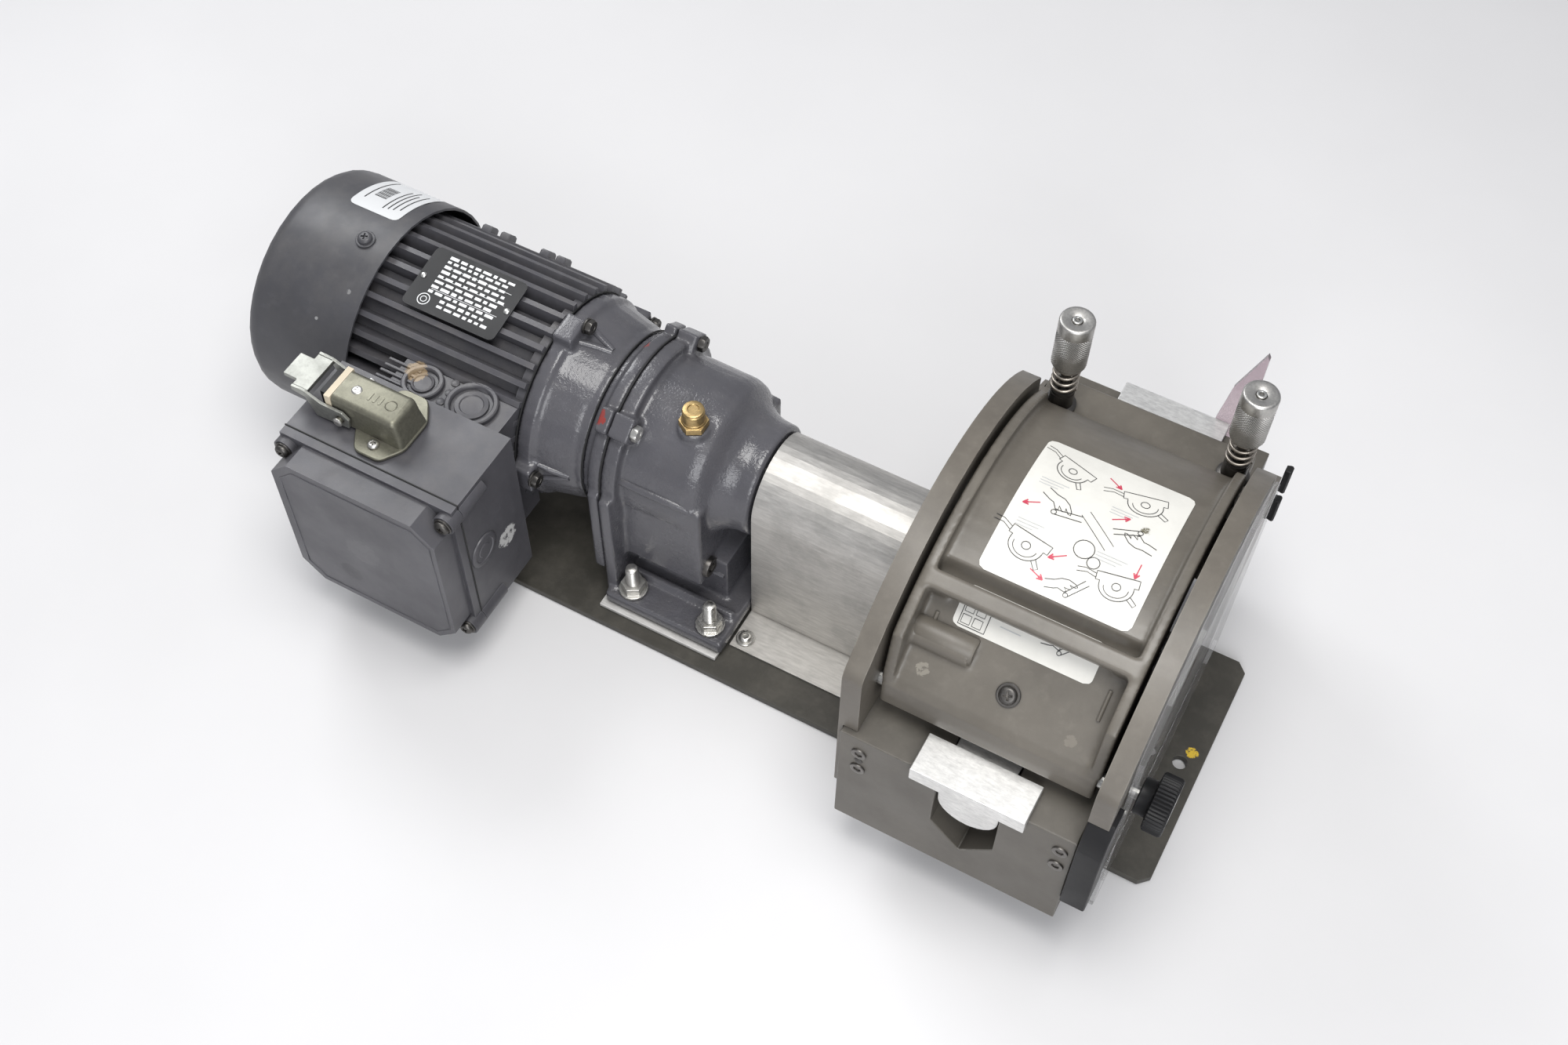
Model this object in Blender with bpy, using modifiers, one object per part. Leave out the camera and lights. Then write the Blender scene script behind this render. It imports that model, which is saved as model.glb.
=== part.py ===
"""Hose pump head driven by an in-line helical gear motor, both on one base plate.

The shaft line runs along X, from the motor's fan cover at -X to the pump's clear guard at +X.
The origin lies on the underside of the base plate, straight below the shaft line.
Sizes in this file are millimetres; the shape helpers turn them into metres.
"""
import math

import bmesh
import bpy
from mathutils import Matrix, Vector

METRES = 0.001
GAP = 0.3
MERGE = 0.00001

# Shaft line and base plate
AXIS_Z = 102.0
BASE_LEFT, BASE_RIGHT = -270.0, 183.5
BASE_HALF_WIDTH = 80.0
BASE_TOP = 5.0
BASE_CORNER = 6.0
BASE_HOLE_X = (171.0,)
BASE_HOLE_RADIUS = 4.3

# Motor
FAN_COVER_RADIUS = 72.5
FAN_COVER_BACK, FAN_COVER_RIM = -416.0, -342.0
SHEET = 1.5
GRILLE_SLOTS = 12
HOUSING_LEFT, HOUSING_RIGHT = -352.0, -231.3
HOUSING_CORE_RADIUS = 57.5
FIN_RADIUS = 66.5
FIN_COUNT = 36
HOUSING_BORE = 54.0
SHIELD_RIGHT = -192.3
SHIELD_RADIUS = 62.0
ADAPTER_RADIUS = 53.5
LUG_ANGLES = (1, 95, 182, 270)
MOTOR_SHAFT_RADIUS = 8.0

# Gear case and foot
COVER_RIGHT = -178.3
CASE_LEFT = -178.0
CASE_SHOULDER = -124.0
FLANGE_RADIUS = 57.0
CASE_RADIUS = 50.5
CASE_CAVITY_RADIUS = 44.5
HUB_RIGHT = -96.0
HUB_RADIUS = 34.0
EAR_ANGLES = (50, 130, 230, 310)
FOOT_LEFT, FOOT_RIGHT = -175.0, -95.0
FOOT_HALF_WIDTH = 68.0
FOOT_TOP = 18.0
SHIM_TOP = 8.0
FOOT_BOLT_X = (-160.5, -107.5)
FOOT_BOLT_Y = 58.0
VENT_X, VENT_Y = -137.0, -19.0
VENT_SEAT_Z = 150.5

# Gears: two stages on one centre distance
MODULE = 1.5
PINION_TEETH, WHEEL_TEETH = 12, 30
CENTRE_DISTANCE = MODULE * (PINION_TEETH + WHEEL_TEETH) / 2
SECOND_SHAFT_Z = AXIS_Z - CENTRE_DISTANCE
SUMP_BOTTOM = 40.0
FIRST_STAGE = (-174.0, -163.0)
SECOND_STAGE = (-150.0, -138.0)

# Terminal box on the motor's front side
BOX_LEFT, BOX_RIGHT = -333.0, -220.0
BOX_FRONT, BOX_BACK = -127.0, -75.3
BOX_BOTTOM, BOX_TOP = 33.0, 150.0
BOX_WALL = 3.5
COVER_FRONT = -149.0
COVER_SCREW_X = (-329.0, -223.5)
COVER_SCREW_Z = (39.0, 141.5)

# Connector on the box
CONNECTOR_Y = -100.5
CONNECTOR_HALF_WIDTH = 11.0
CONNECTOR_LEFT, CONNECTOR_RIGHT = -310.0, -269.0
CONNECTOR_TOP = 171.0
LEVER_PIVOT_X, LEVER_PIVOT_Z = -304.0, 158.0

# Coupling guard
GUARD_LEFT, GUARD_RIGHT = -94.5, 12.6
GUARD_RADIUS = 31.0
GUARD_FLANGE_Y = 58.0

# Pump head
PLATE_THICKNESS = 11.0
BACK_PLATE_X = 13.0
FRONT_PLATE_X = 147.0
PUMP_CENTRE_X = 88.5
ARC_Y, ARC_Z, ARC_RADIUS = -22.0, 72.0, 150.0
PLATE_FRONT_Y, PLATE_REAR_Y = -133.0, 78.0
PORT_LEFT, PORT_RIGHT = 16.0, 146.5
PORT_FACE_Y, PORT_DEPTH = 136.5, 36.5
PORT_BOTTOM, PORT_TOP = 37.0, 127.0
PORT_HALF_WIDTH = 17.7
VEE_SHOULDER_Z, VEE_APEX_Z = 79.0, 61.0
CLAMP_LEFT, CLAMP_RIGHT = 57.0, 120.0
CLAMP_TOP = 132.0
TRACK_LEFT, TRACK_RIGHT = 26.5, 144.5
TRACK_RADIUS = 140.0
TRACK_RIM_RADIUS = 146.0
TRACK_BORE = 96.0
PIVOT_Y, PIVOT_Z = -110.0, 149.0
SHELF_Z = 170.0
HANDLE_Y, HANDLE_Z = -78.0, 203.0
LATCH_X = (37.0, 136.5)
LATCH_Y = 77.0
KNOB_RADIUS = 9.7
KNOB_BOTTOM, KNOB_TOP = 205.0, 240.0
SPRING_BOTTOM = 185.5
ROTOR_CHEEKS = (50.0, 126.0)
ROLLER_RADIUS = 18.0
ROLLER_ORBIT = 66.0
ROLLER_ANGLES = (45, 135, 225, 315)

# Clear guard on the pump's front
GUARD_SHEET_X = (158.8, 161.8)
GUARD_HINGE_Y = 76.0
THUMBSCREW_Y, THUMBSCREW_Z = -92.0, 120.0
CATCH_BACK_Y, CATCH_TOP = -118.0, 148.0

PAINT_BLUE_GREY = (0.115, 0.117, 0.135)
PAINT_OLIVE = (0.130, 0.122, 0.103)
PAINT_OLIVE_DARK = (0.072, 0.069, 0.055)
STEEL = (0.55, 0.54, 0.52)
ALUMINIUM = (0.62, 0.62, 0.61)
BLACK_PLASTIC = (0.02, 0.02, 0.022)


def clear_scene():
    for obj in list(bpy.data.objects):
        bpy.data.objects.remove(obj, do_unlink=True)


def new_collection(name):
    collection = bpy.data.collections.new(name)
    bpy.context.scene.collection.children.link(collection)
    return collection


def finish(obj, colour, roughness, metallic=0.0, bevel=0.0):
    """Gives a sub-part its own material, and rounds its sharp edges by bevel millimetres."""
    material = bpy.data.materials.new(obj.name + "_finish")
    material.use_nodes = True
    shader = material.node_tree.nodes["Principled BSDF"]
    shader.inputs["Base Color"].default_value = (*colour, 1.0)
    shader.inputs["Roughness"].default_value = roughness
    shader.inputs["Metallic"].default_value = metallic
    obj.data.materials.clear()
    obj.data.materials.append(material)
    if bevel:
        rounding = obj.modifiers.new("rounded_edges", "BEVEL")
        rounding.width = bevel * METRES
        rounding.segments = 2
        rounding.limit_method = "ANGLE"
        rounding.angle_limit = math.radians(40)
    obj.data.shade_smooth()
    obj.data.set_sharp_from_angle(angle=math.radians(35))
    return obj


def object_from_bmesh(name, bm, matrix=Matrix()):
    mesh = bpy.data.meshes.new(name)
    bm.to_mesh(mesh)
    bm.free()
    obj = bpy.data.objects.new(name, mesh)
    obj.matrix_world = matrix
    PARTS.objects.link(obj)
    return obj


def block(name, low, high):
    """An axis-aligned box between two corners."""
    low, high = Vector(low) * METRES, Vector(high) * METRES
    size = high - low
    bm = bmesh.new()
    bmesh.ops.create_cube(bm, size=1.0)
    bmesh.ops.scale(bm, vec=size, verts=bm.verts)
    return object_from_bmesh(name, bm, Matrix.Translation((low + high) / 2))


def rod(name, start, end, radius, end_radius=None, sides=16):
    """A cylinder or cone from one point to another."""
    start, end = Vector(start) * METRES, Vector(end) * METRES
    radius *= METRES
    end_radius = radius if end_radius is None else end_radius * METRES
    bm = bmesh.new()
    bmesh.ops.create_cone(bm, cap_ends=True, segments=sides, radius1=radius, radius2=end_radius,
                          depth=(end - start).length)
    turn = Vector((0, 0, 1)).rotation_difference(end - start).to_matrix().to_4x4()
    return object_from_bmesh(name, bm, Matrix.Translation((start + end) / 2) @ turn)


AXIS_TURNS = {"X": Matrix.Rotation(math.pi / 2, 4, "Y"), "Z": Matrix(),
              "-Y": Matrix.Rotation(math.pi / 2, 4, "X")}


def turned(name, profile, centre, axis="X", sides=40, closed=False):
    """A turned solid. The profile lists (along, radius), from the far end of the axis to the near end.

    A closed profile goes round a ring's section; an open one starts and ends on the axis.
    """
    mesh = bpy.data.meshes.new(name)
    points = [(radius * METRES, 0.0, along * METRES) for along, radius in profile]
    edges = [(index, index + 1) for index in range(len(points) - 1)]
    if closed:
        edges.append((len(points) - 1, 0))
    mesh.from_pydata(points, edges, [])
    obj = bpy.data.objects.new(name, mesh)
    obj.matrix_world = Matrix.Translation(Vector(centre) * METRES) @ AXIS_TURNS[axis]
    PARTS.objects.link(obj)
    screw = obj.modifiers.new("turned", "SCREW")
    screw.axis = "Z"
    screw.angle = 2 * math.pi
    screw.steps = sides
    screw.render_steps = sides
    screw.use_merge_vertices = True
    screw.merge_threshold = MERGE
    screw.use_normal_calculate = False
    return obj


def ring(name, x_low, x_high, inner, outer, y=0.0, z=AXIS_Z, sides=32):
    """A plain ring round an axis along X."""
    profile = [(x_high, outer), (x_low, outer), (x_low, inner), (x_high, inner)]
    return turned(name, profile, (0, y, z), sides=sides, closed=True)


OUTLINE_FRAMES = {
    "X": Matrix(((0, 0, 1, 0), (1, 0, 0, 0), (0, 1, 0, 0), (0, 0, 0, 1))),
    "Y": Matrix(((1, 0, 0, 0), (0, 0, -1, 0), (0, 1, 0, 0), (0, 0, 0, 1))),
    "Z": Matrix(),
}


def prism(name, outline, axis, low, high, offset=(0, 0, 0)):
    """A flat outline made solid along an axis. The outline is (y, z), (x, z) or (x, y)."""
    curve = bpy.data.curves.new(name, "CURVE")
    curve.dimensions = "2D"
    curve.fill_mode = "BOTH"
    curve.extrude = (high - low) / 2 * METRES
    spline = curve.splines.new("POLY")
    spline.points.add(len(outline) - 1)
    for point, (across, up) in zip(spline.points, outline):
        point.co = (across * METRES, up * METRES, 0.0, 1.0)
    spline.use_cyclic_u = True
    drawing = bpy.data.objects.new(name + "_outline", curve)
    PARTS.objects.link(drawing)
    bpy.context.view_layer.update()
    evaluated = drawing.evaluated_get(bpy.context.evaluated_depsgraph_get())
    mesh = bpy.data.meshes.new_from_object(evaluated)
    bpy.data.objects.remove(drawing)
    bm = bmesh.new()
    bm.from_mesh(mesh)
    bmesh.ops.remove_doubles(bm, verts=bm.verts, dist=MERGE)
    bpy.data.meshes.remove(mesh)
    middle = {"X": (1, 0, 0), "Y": (0, 1, 0), "Z": (0, 0, 1)}[axis]
    place = Vector(middle) * (low + high) / 2 + Vector(offset)
    return object_from_bmesh(name, bm, Matrix.Translation(place * METRES) @ OUTLINE_FRAMES[axis])


def combine(target, tools, operation):
    """Cuts or joins each tool, which moves to the cutters' collection."""
    for tool in tools:
        PARTS.objects.unlink(tool)
        CUTTERS.objects.link(tool)
        tool.hide_render = True
        tool.display_type = "WIRE"
        modifier = target.modifiers.new(tool.name, "BOOLEAN")
        modifier.operation = operation
        modifier.solver = "EXACT"
        modifier.object = tool
    return target


def cut(target, *tools):
    return combine(target, tools, "DIFFERENCE")


def join(target, *tools):
    return combine(target, tools, "UNION")


def arc(centre, radius, start, end, steps):
    """Points along an arc, with its angles in degrees."""
    points = []
    for index in range(steps + 1):
        angle = math.radians(start + (end - start) * index / steps)
        points.append((centre[0] + radius * math.cos(angle), centre[1] + radius * math.sin(angle)))
    return points


def polar(radius, degrees, centre=(0.0, AXIS_Z)):
    angle = math.radians(degrees)
    return centre[0] + radius * math.cos(angle), centre[1] + radius * math.sin(angle)


def arc_height(y, radius):
    """Height of the pump's outer arc at a given y."""
    return ARC_Z + math.sqrt(radius ** 2 - (y - ARC_Y) ** 2)


def arc_angle(y, radius):
    return math.degrees(math.acos((y - ARC_Y) / radius))


def gear_outline(teeth, first_tooth):
    """Trapezoid teeth, thinner than the pitch asks, so that meshed gears run clear."""
    pitch_radius = MODULE * teeth / 2
    root, tip = pitch_radius - 1.3 * MODULE, pitch_radius + 0.8 * MODULE
    pitch = 360 / teeth
    points = []
    for tooth in range(teeth):
        middle = first_tooth + tooth * pitch
        for radius, share in ((root, -0.25), (tip, -0.09), (tip, 0.09), (root, 0.25)):
            points.append(polar(radius, middle + share * pitch, (0, 0)))
    return points


# --- base ---------------------------------------------------------------------------------------

def base_plate():
    half = BASE_HALF_WIDTH
    corner = BASE_CORNER
    outline = [(BASE_LEFT + corner, -half), (BASE_RIGHT - corner, -half), (BASE_RIGHT, corner - half),
               (BASE_RIGHT, half - corner), (BASE_RIGHT - corner, half), (BASE_LEFT + corner, half),
               (BASE_LEFT, half - corner), (BASE_LEFT, corner - half)]
    plate = prism("base_plate", outline, "Z", 0, BASE_TOP)
    for index, x in enumerate(BASE_HOLE_X):
        cut(plate, rod(f"base_hole_{index}", (x, 0, -2), (x, 0, BASE_TOP + 2), BASE_HOLE_RADIUS, sides=16))
    for index, (x, y) in enumerate(foot_bolt_places()):
        cut(plate, rod(f"base_bolt_hole_{index}", (x, y, -2), (x, y, BASE_TOP + 2), 4.5, sides=16))
    finish(plate, PAINT_OLIVE_DARK, 0.5, 0.1)


def foot_bolt_places():
    return [(x, y) for y in (-FOOT_BOLT_Y, FOOT_BOLT_Y) for x in FOOT_BOLT_X]


def foot_shim(name, side):
    """A loose aluminium strip that packs the gear case's foot up to the pump's shaft height."""
    low, high = sorted((side * 40, side * (FOOT_HALF_WIDTH + 3.5)))
    shim = block(name, (FOOT_LEFT - 2, low, BASE_TOP + GAP), (FOOT_RIGHT - 2, high, SHIM_TOP))
    for x in FOOT_BOLT_X:
        cut(shim, rod(f"{name}_hole_{x}", (x, side * FOOT_BOLT_Y, 0), (x, side * FOOT_BOLT_Y, 20), 4.5, sides=16))
    finish(shim, ALUMINIUM, 0.35, 1.0)


def foot_bolt(index, x, y):
    """A countersunk stud from below, with its flanged nut on the foot."""
    nut_low = FOOT_TOP + GAP
    shank = turned(f"foot_bolt_{index}", [(41, 0), (41, 3.2), (40.2, 3.9), (nut_low + 2.2, 3.9), (nut_low + 2.2, 8.9),
                                          (nut_low, 8.9), (nut_low, 3.9), (0.5, 3.9), (0.5, 0)],
                   (x, y, 0), axis="Z", sides=16)
    nut = rod(f"foot_nut_{index}", (x, y, nut_low + 1), (x, y, nut_low + 8), 7.4, sides=6)
    finish(join(shank, nut), STEEL, 0.3, 1.0)


# --- motor --------------------------------------------------------------------------------------

def fin_outline():
    """The housing's section: straight ribs round a drum."""
    points = []
    pitch = 360 / FIN_COUNT
    for fin in range(FIN_COUNT):
        middle = fin * pitch
        for radius, share in ((HOUSING_CORE_RADIUS, -0.24), (FIN_RADIUS, -0.14), (FIN_RADIUS, 0.14),
                              (HOUSING_CORE_RADIUS, 0.24)):
            points.append(polar(radius, middle + share * pitch, (0, 0)))
    return points


def motor_housing():
    housing = prism("motor_housing", fin_outline(), "X", HOUSING_LEFT, HOUSING_RIGHT, (0, 0, AXIS_Z))
    platform = block("terminal_platform", (-306, -75, 47), (HOUSING_RIGHT - 0.5, -46, 143))
    band = rod("housing_band", (-237, 0, AXIS_Z), (HOUSING_RIGHT, 0, AXIS_Z), SHIELD_RADIUS, sides=40)
    join(housing, platform, band)
    bore = rod("housing_bore", (HOUSING_LEFT - 5, 0, AXIS_Z), (HOUSING_RIGHT + 5, 0, AXIS_Z), HOUSING_BORE, sides=32)
    leads = rod("lead_hole", (-264, -80, AXIS_Z), (-264, -40, AXIS_Z), 12, sides=16)
    cut(housing, bore, leads)
    finish(housing, PAINT_BLUE_GREY, 0.45)


def drive_end_shield():
    """The flanged end shield: a band, then a shallow cone down to the gear case's adapter."""
    right, left = SHIELD_RIGHT, HOUSING_RIGHT + GAP
    shield = turned("drive_end_shield", [(right, 0), (right, ADAPTER_RADIUS), (-198, ADAPTER_RADIUS),
                                         (-199, ADAPTER_RADIUS + 1), (-221, SHIELD_RADIUS - 2.5),
                                         (-222, SHIELD_RADIUS), (left, SHIELD_RADIUS), (left, 0)], (0, 0, AXIS_Z))
    for angle in LUG_ANGLES:
        y, z = polar(SHIELD_RADIUS - 1, angle)
        lug = block(f"shield_lug_{angle}", (left, -6, -9), (left + 13, 7, 9))
        lug.matrix_world = (Matrix.Translation(Vector((0, y, z)) * METRES)
                            @ Matrix.Rotation(math.radians(angle), 4, "X") @ lug.matrix_world)
        join(shield, lug)
    cavity = rod("shield_cavity", (left - 5, 0, AXIS_Z), (left + 24, 0, AXIS_Z), 50, sides=32)
    shaft_hole = rod("shield_shaft_hole", (left, 0, AXIS_Z), (right + 5, 0, AXIS_Z), MOTOR_SHAFT_RADIUS + 0.6)
    cut(shield, cavity, shaft_hole)
    finish(shield, PAINT_BLUE_GREY, 0.3)


def fan_end_shield():
    right = HOUSING_LEFT - GAP
    shield = turned("fan_end_shield", [(right, 0), (right, 62), (right - 6, 62), (right - 7, 24), (right - 13, 22),
                                       (right - 13, 0)], (0, 0, AXIS_Z))
    for angle in (45, 135, 225, 315):
        lug = block(f"fan_lug_{angle}", (right - 6, 56, -5), (right, FAN_COVER_RADIUS - SHEET - 1.2, 5))
        lug.matrix_world = (Matrix.Translation(Vector((0, 0, AXIS_Z)) * METRES)
                            @ Matrix.Rotation(math.radians(angle), 4, "X") @ lug.matrix_world)
        join(shield, lug)
    seat = rod("fan_bearing_seat", (right - 10, 0, AXIS_Z), (right + 5, 0, AXIS_Z), 17.5)
    hole = rod("fan_shaft_hole", (right - 20, 0, AXIS_Z), (right, 0, AXIS_Z), MOTOR_SHAFT_RADIUS + 0.6)
    cut(shield, seat, hole)
    finish(shield, PAINT_BLUE_GREY, 0.5)


def fan_cover():
    """A drawn sheet bell with an air grille in its back."""
    rim, back, radius = FAN_COVER_RIM, FAN_COVER_BACK, FAN_COVER_RADIUS
    corner = 11.0
    outer = [(back + corner - corner * math.sin(angle), radius - corner + corner * math.cos(angle))
             for angle in (math.radians(22.5 * step) for step in range(5))]
    inner = [(along + SHEET * (1 if index > 2 else 0), r - SHEET) for index, (along, r) in enumerate(outer)]
    profile = [(rim, radius)] + outer + [(back, 0), (back + SHEET, 0)] + inner[::-1] + [(rim, radius - SHEET)]
    cover = turned("fan_cover", profile, (0, 0, AXIS_Z), closed=True)
    for index in range(GRILLE_SLOTS):
        slot = block(f"grille_{index}", (back - 5, 18, -3.2), (back + 8, 50, 3.2))
        slot.matrix_world = (Matrix.Translation(Vector((0, 0, AXIS_Z)) * METRES)
                             @ Matrix.Rotation(2 * math.pi * index / GRILLE_SLOTS, 4, "X") @ slot.matrix_world)
        cut(cover, slot)
    finish(cover, PAINT_BLUE_GREY, 0.5)


def cooling_fan():
    fan = turned("cooling_fan", [(-367, MOTOR_SHAFT_RADIUS + GAP), (-367, 20), (-372, 20), (-372, 56), (-374.5, 56),
                                 (-374.5, 17), (-390, 15), (-390, MOTOR_SHAFT_RADIUS + GAP)],
                 (0, 0, AXIS_Z), sides=24, closed=True)
    for index in range(6):
        blade = block(f"fan_blade_{index}", (-394, 12, -1), (-373, 58, 1))
        blade.matrix_world = (Matrix.Translation(Vector((0, 0, AXIS_Z)) * METRES)
                              @ Matrix.Rotation(math.radians(360 * index / 6), 4, "X") @ blade.matrix_world)
        join(fan, blade)
    finish(fan, BLACK_PLASTIC, 0.6)


def stator():
    finish(ring("stator", -322, -248, 33.3, HOUSING_BORE - 2 * GAP), (0.35, 0.2, 0.1), 0.5, 0.6)


def motor_rotor():
    """The shaft with its rotor core, and the first pinion on its end."""
    radius = MOTOR_SHAFT_RADIUS
    shaft = turned("motor_shaft", [(FIRST_STAGE[0] + 2, 0), (FIRST_STAGE[0] + 2, 6), (-186, 6), (-186, radius),
                                   (-250, radius), (-250, 32.5), (-320, 32.5), (-320, radius), (-391, radius),
                                   (-392, radius - 1), (-392, 0)], (0, 0, AXIS_Z), sides=20)
    pinion = prism("motor_pinion", gear_outline(PINION_TEETH, -90), "X", *FIRST_STAGE, (0, 0, AXIS_Z))
    finish(join(shaft, pinion), STEEL, 0.3, 1.0)


def nameplate():
    """A flat plate riveted across the ribs, on the upper front of the housing."""
    plate = block("nameplate", (-321, -20.5, FIN_RADIUS + GAP), (-259, 20.5, FIN_RADIUS + 1.1))
    plate.matrix_world = (Matrix.Translation(Vector((0, 0, AXIS_Z)) * METRES)
                          @ Matrix.Rotation(math.radians(10.5), 4, "X") @ plate.matrix_world)
    finish(plate, (0.015, 0.015, 0.016), 0.35, 0.2)


# --- terminal box and connector -----------------------------------------------------------------

def ear_posts(stem, y_low, y_high, radius):
    posts = []
    for x in COVER_SCREW_X:
        for z in COVER_SCREW_Z:
            posts.append(rod(f"{stem}_post_{x}_{z}", (x, y_low, z), (x, y_high, z), radius, sides=20))
    return posts


def terminal_box():
    box = block("terminal_box", (BOX_LEFT, BOX_FRONT, BOX_BOTTOM), (BOX_RIGHT, BOX_BACK, BOX_TOP))
    join(box, *ear_posts("box", BOX_FRONT, BOX_FRONT + 22, 6.5))
    hollow = block("box_hollow", (BOX_LEFT + BOX_WALL, BOX_FRONT - 5, BOX_BOTTOM + BOX_WALL),
                   (BOX_RIGHT - BOX_WALL, BOX_BACK - BOX_WALL, BOX_TOP - BOX_WALL))
    leads = rod("box_lead_hole", (-264, BOX_BACK - 8, AXIS_Z), (-264, BOX_BACK + 8, AXIS_Z), 12, sides=16)
    window = block("connector_window", (-290, CONNECTOR_Y - 7, BOX_TOP - 8), (-275, CONNECTOR_Y + 7, BOX_TOP + 5))
    cut(box, hollow, leads, window)
    finish(box, PAINT_BLUE_GREY, 0.45)


def cover_outline(inset):
    """The cover's outline: a square with its corners cut where the screws sit."""
    left, right = BOX_LEFT + inset, BOX_RIGHT - inset
    low, high = BOX_BOTTOM + inset, BOX_TOP - inset
    corner = 13.0
    return [(left + corner, low), (right - corner, low), (right, low + corner), (right, high - corner),
            (right - corner, high), (left + corner, high), (left, high - corner), (left, low + corner)]


def terminal_box_cover():
    rim_front, rim_back = BOX_FRONT - 6, BOX_FRONT - GAP
    cover = block("terminal_box_cover", (BOX_LEFT, rim_front, BOX_BOTTOM), (BOX_RIGHT, rim_back, BOX_TOP))
    join(cover, *ear_posts("cover", rim_front - 4, rim_back, 6.5))
    join(cover, prism("cover_face", cover_outline(2.5), "Y", COVER_FRONT, rim_front + 2))
    cut(cover, prism("cover_hollow", cover_outline(6.5), "Y", COVER_FRONT + 3, BOX_FRONT + 5))
    finish(cover, PAINT_BLUE_GREY, 0.45, bevel=0.0)


def terminal_block():
    """The moulded board inside the box, with its six studs."""
    board = block("terminal_block", (-294, BOX_BACK - BOX_WALL - 16, 82), (-234, BOX_BACK - BOX_WALL - GAP, 122))
    for x in (-282, -264, -246):
        for z in (92, 112):
            front = BOX_BACK - BOX_WALL - 30
            join(board, rod(f"terminal_{x}_{z}", (x, front, z), (x, front + 20, z), 2.5, sides=12))
    cut(board, rod("board_lead_hole", (-264, -110, 102), (-264, -70, 102), 7, sides=16))
    finish(board, (0.12, 0.09, 0.06), 0.5)


def connector_housing():
    """A die-cast hood on a rhombic flange, open to the box below and to the plug at -X."""
    y, half = CONNECTOR_Y, CONNECTOR_HALF_WIDTH
    flange_top = BOX_TOP + 2.8
    flange = [(-297, y - half), (-289, y - half - 13), (-273, y - half - 13), (-264, y - half),
              (-264, y + half), (-273, y + half + 13), (-289, y + half + 13), (-297, y + half)]
    housing = prism("connector_housing", flange, "Z", BOX_TOP + GAP, flange_top)
    hood = block("connector_hood", (CONNECTOR_LEFT, y - half, flange_top - 1), (CONNECTOR_RIGHT, y + half, CONNECTOR_TOP))
    studs = rod("lever_studs", (LEVER_PIVOT_X, y - half - 4, LEVER_PIVOT_Z), (LEVER_PIVOT_X, y + half + 4, LEVER_PIVOT_Z),
                2.0, sides=16)
    join(housing, hood, studs)
    wall = 2.0
    socket = block("connector_socket", (CONNECTOR_LEFT - 5, y - half + wall, flange_top + 1),
                   (CONNECTOR_RIGHT - wall, y + half - wall, CONNECTOR_TOP - wall))
    throat = block("connector_throat", (-288, y - 6, BOX_TOP - 5), (-277, y + 6, flange_top + 5))
    cut(housing, socket, throat)
    finish(housing, (0.42, 0.42, 0.33), 0.35, 1.0)


def connector_insert_and_seal():
    y, half = CONNECTOR_Y, CONNECTOR_HALF_WIDTH
    low = BOX_TOP + 4.4
    high = CONNECTOR_TOP - 2.4
    insert = block("connector_insert", (-319, y - half + 2.4, low), (-290, y + half - 2.4, high))
    for row in (-1, 1):
        for column in (-1, 0, 1):
            centre = (y + 4.5 * column, (low + high) / 2 + 3.5 * row)
            cut(insert, rod(f"contact_{row}_{column}", (-325, *centre), (-305, *centre), 1.3, sides=12))
    finish(insert, BLACK_PLASTIC, 0.5)
    seal = block("connector_seal", (-314, y - half - 0.5, flange_seal_low()), (CONNECTOR_LEFT - GAP, y + half + 0.5, CONNECTOR_TOP))
    cut(seal, block("seal_mouth", (-325, y - half + 2.1, low - GAP), (-300, y + half - 2.1, high + GAP)))
    finish(seal, (0.62, 0.55, 0.42), 0.6)


def flange_seal_low():
    return BOX_TOP + 1.6


def connector_lever():
    """The locking lever: two cheeks on the side studs, joined by a thumb tab beyond the mouth."""
    y = CONNECTOR_Y
    inner, outer = CONNECTOR_HALF_WIDTH + 0.9, CONNECTOR_HALF_WIDTH + 2.7
    x, z = LEVER_PIVOT_X, LEVER_PIVOT_Z
    cheek = [(x + 5, z - 5), (x + 6, z + 2), (x + 2, z + 6), (x - 12, z + 6), (x - 22, z + 11),
             (x - 31, z + 11), (x - 31, z + 7.5), (x - 22, z + 6), (x - 17, z - 7), (x - 7, z - 6)]
    lever = prism("connector_lever", cheek, "Y", y - outer, y - inner)
    far_cheek = prism("lever_far_cheek", cheek, "Y", y + inner, y + outer)
    bridge = block("lever_bridge", (x - 31, y - outer + 0.5, z + 8), (x - 21, y + outer - 0.5, z + 10.5))
    tab = block("lever_tab", (x - 40, y - 8, z + 8), (x - 30, y + 8, z + 10.5))
    join(lever, bridge, far_cheek, tab)
    hole = rod("lever_hole", (x, y - outer - 2, z), (x, y + outer + 2, z), 2.3, sides=16)
    cut(lever, hole)
    finish(lever, (0.42, 0.42, 0.35), 0.35, 1.0)


# --- gearbox ------------------------------------------------------------------------------------

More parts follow.
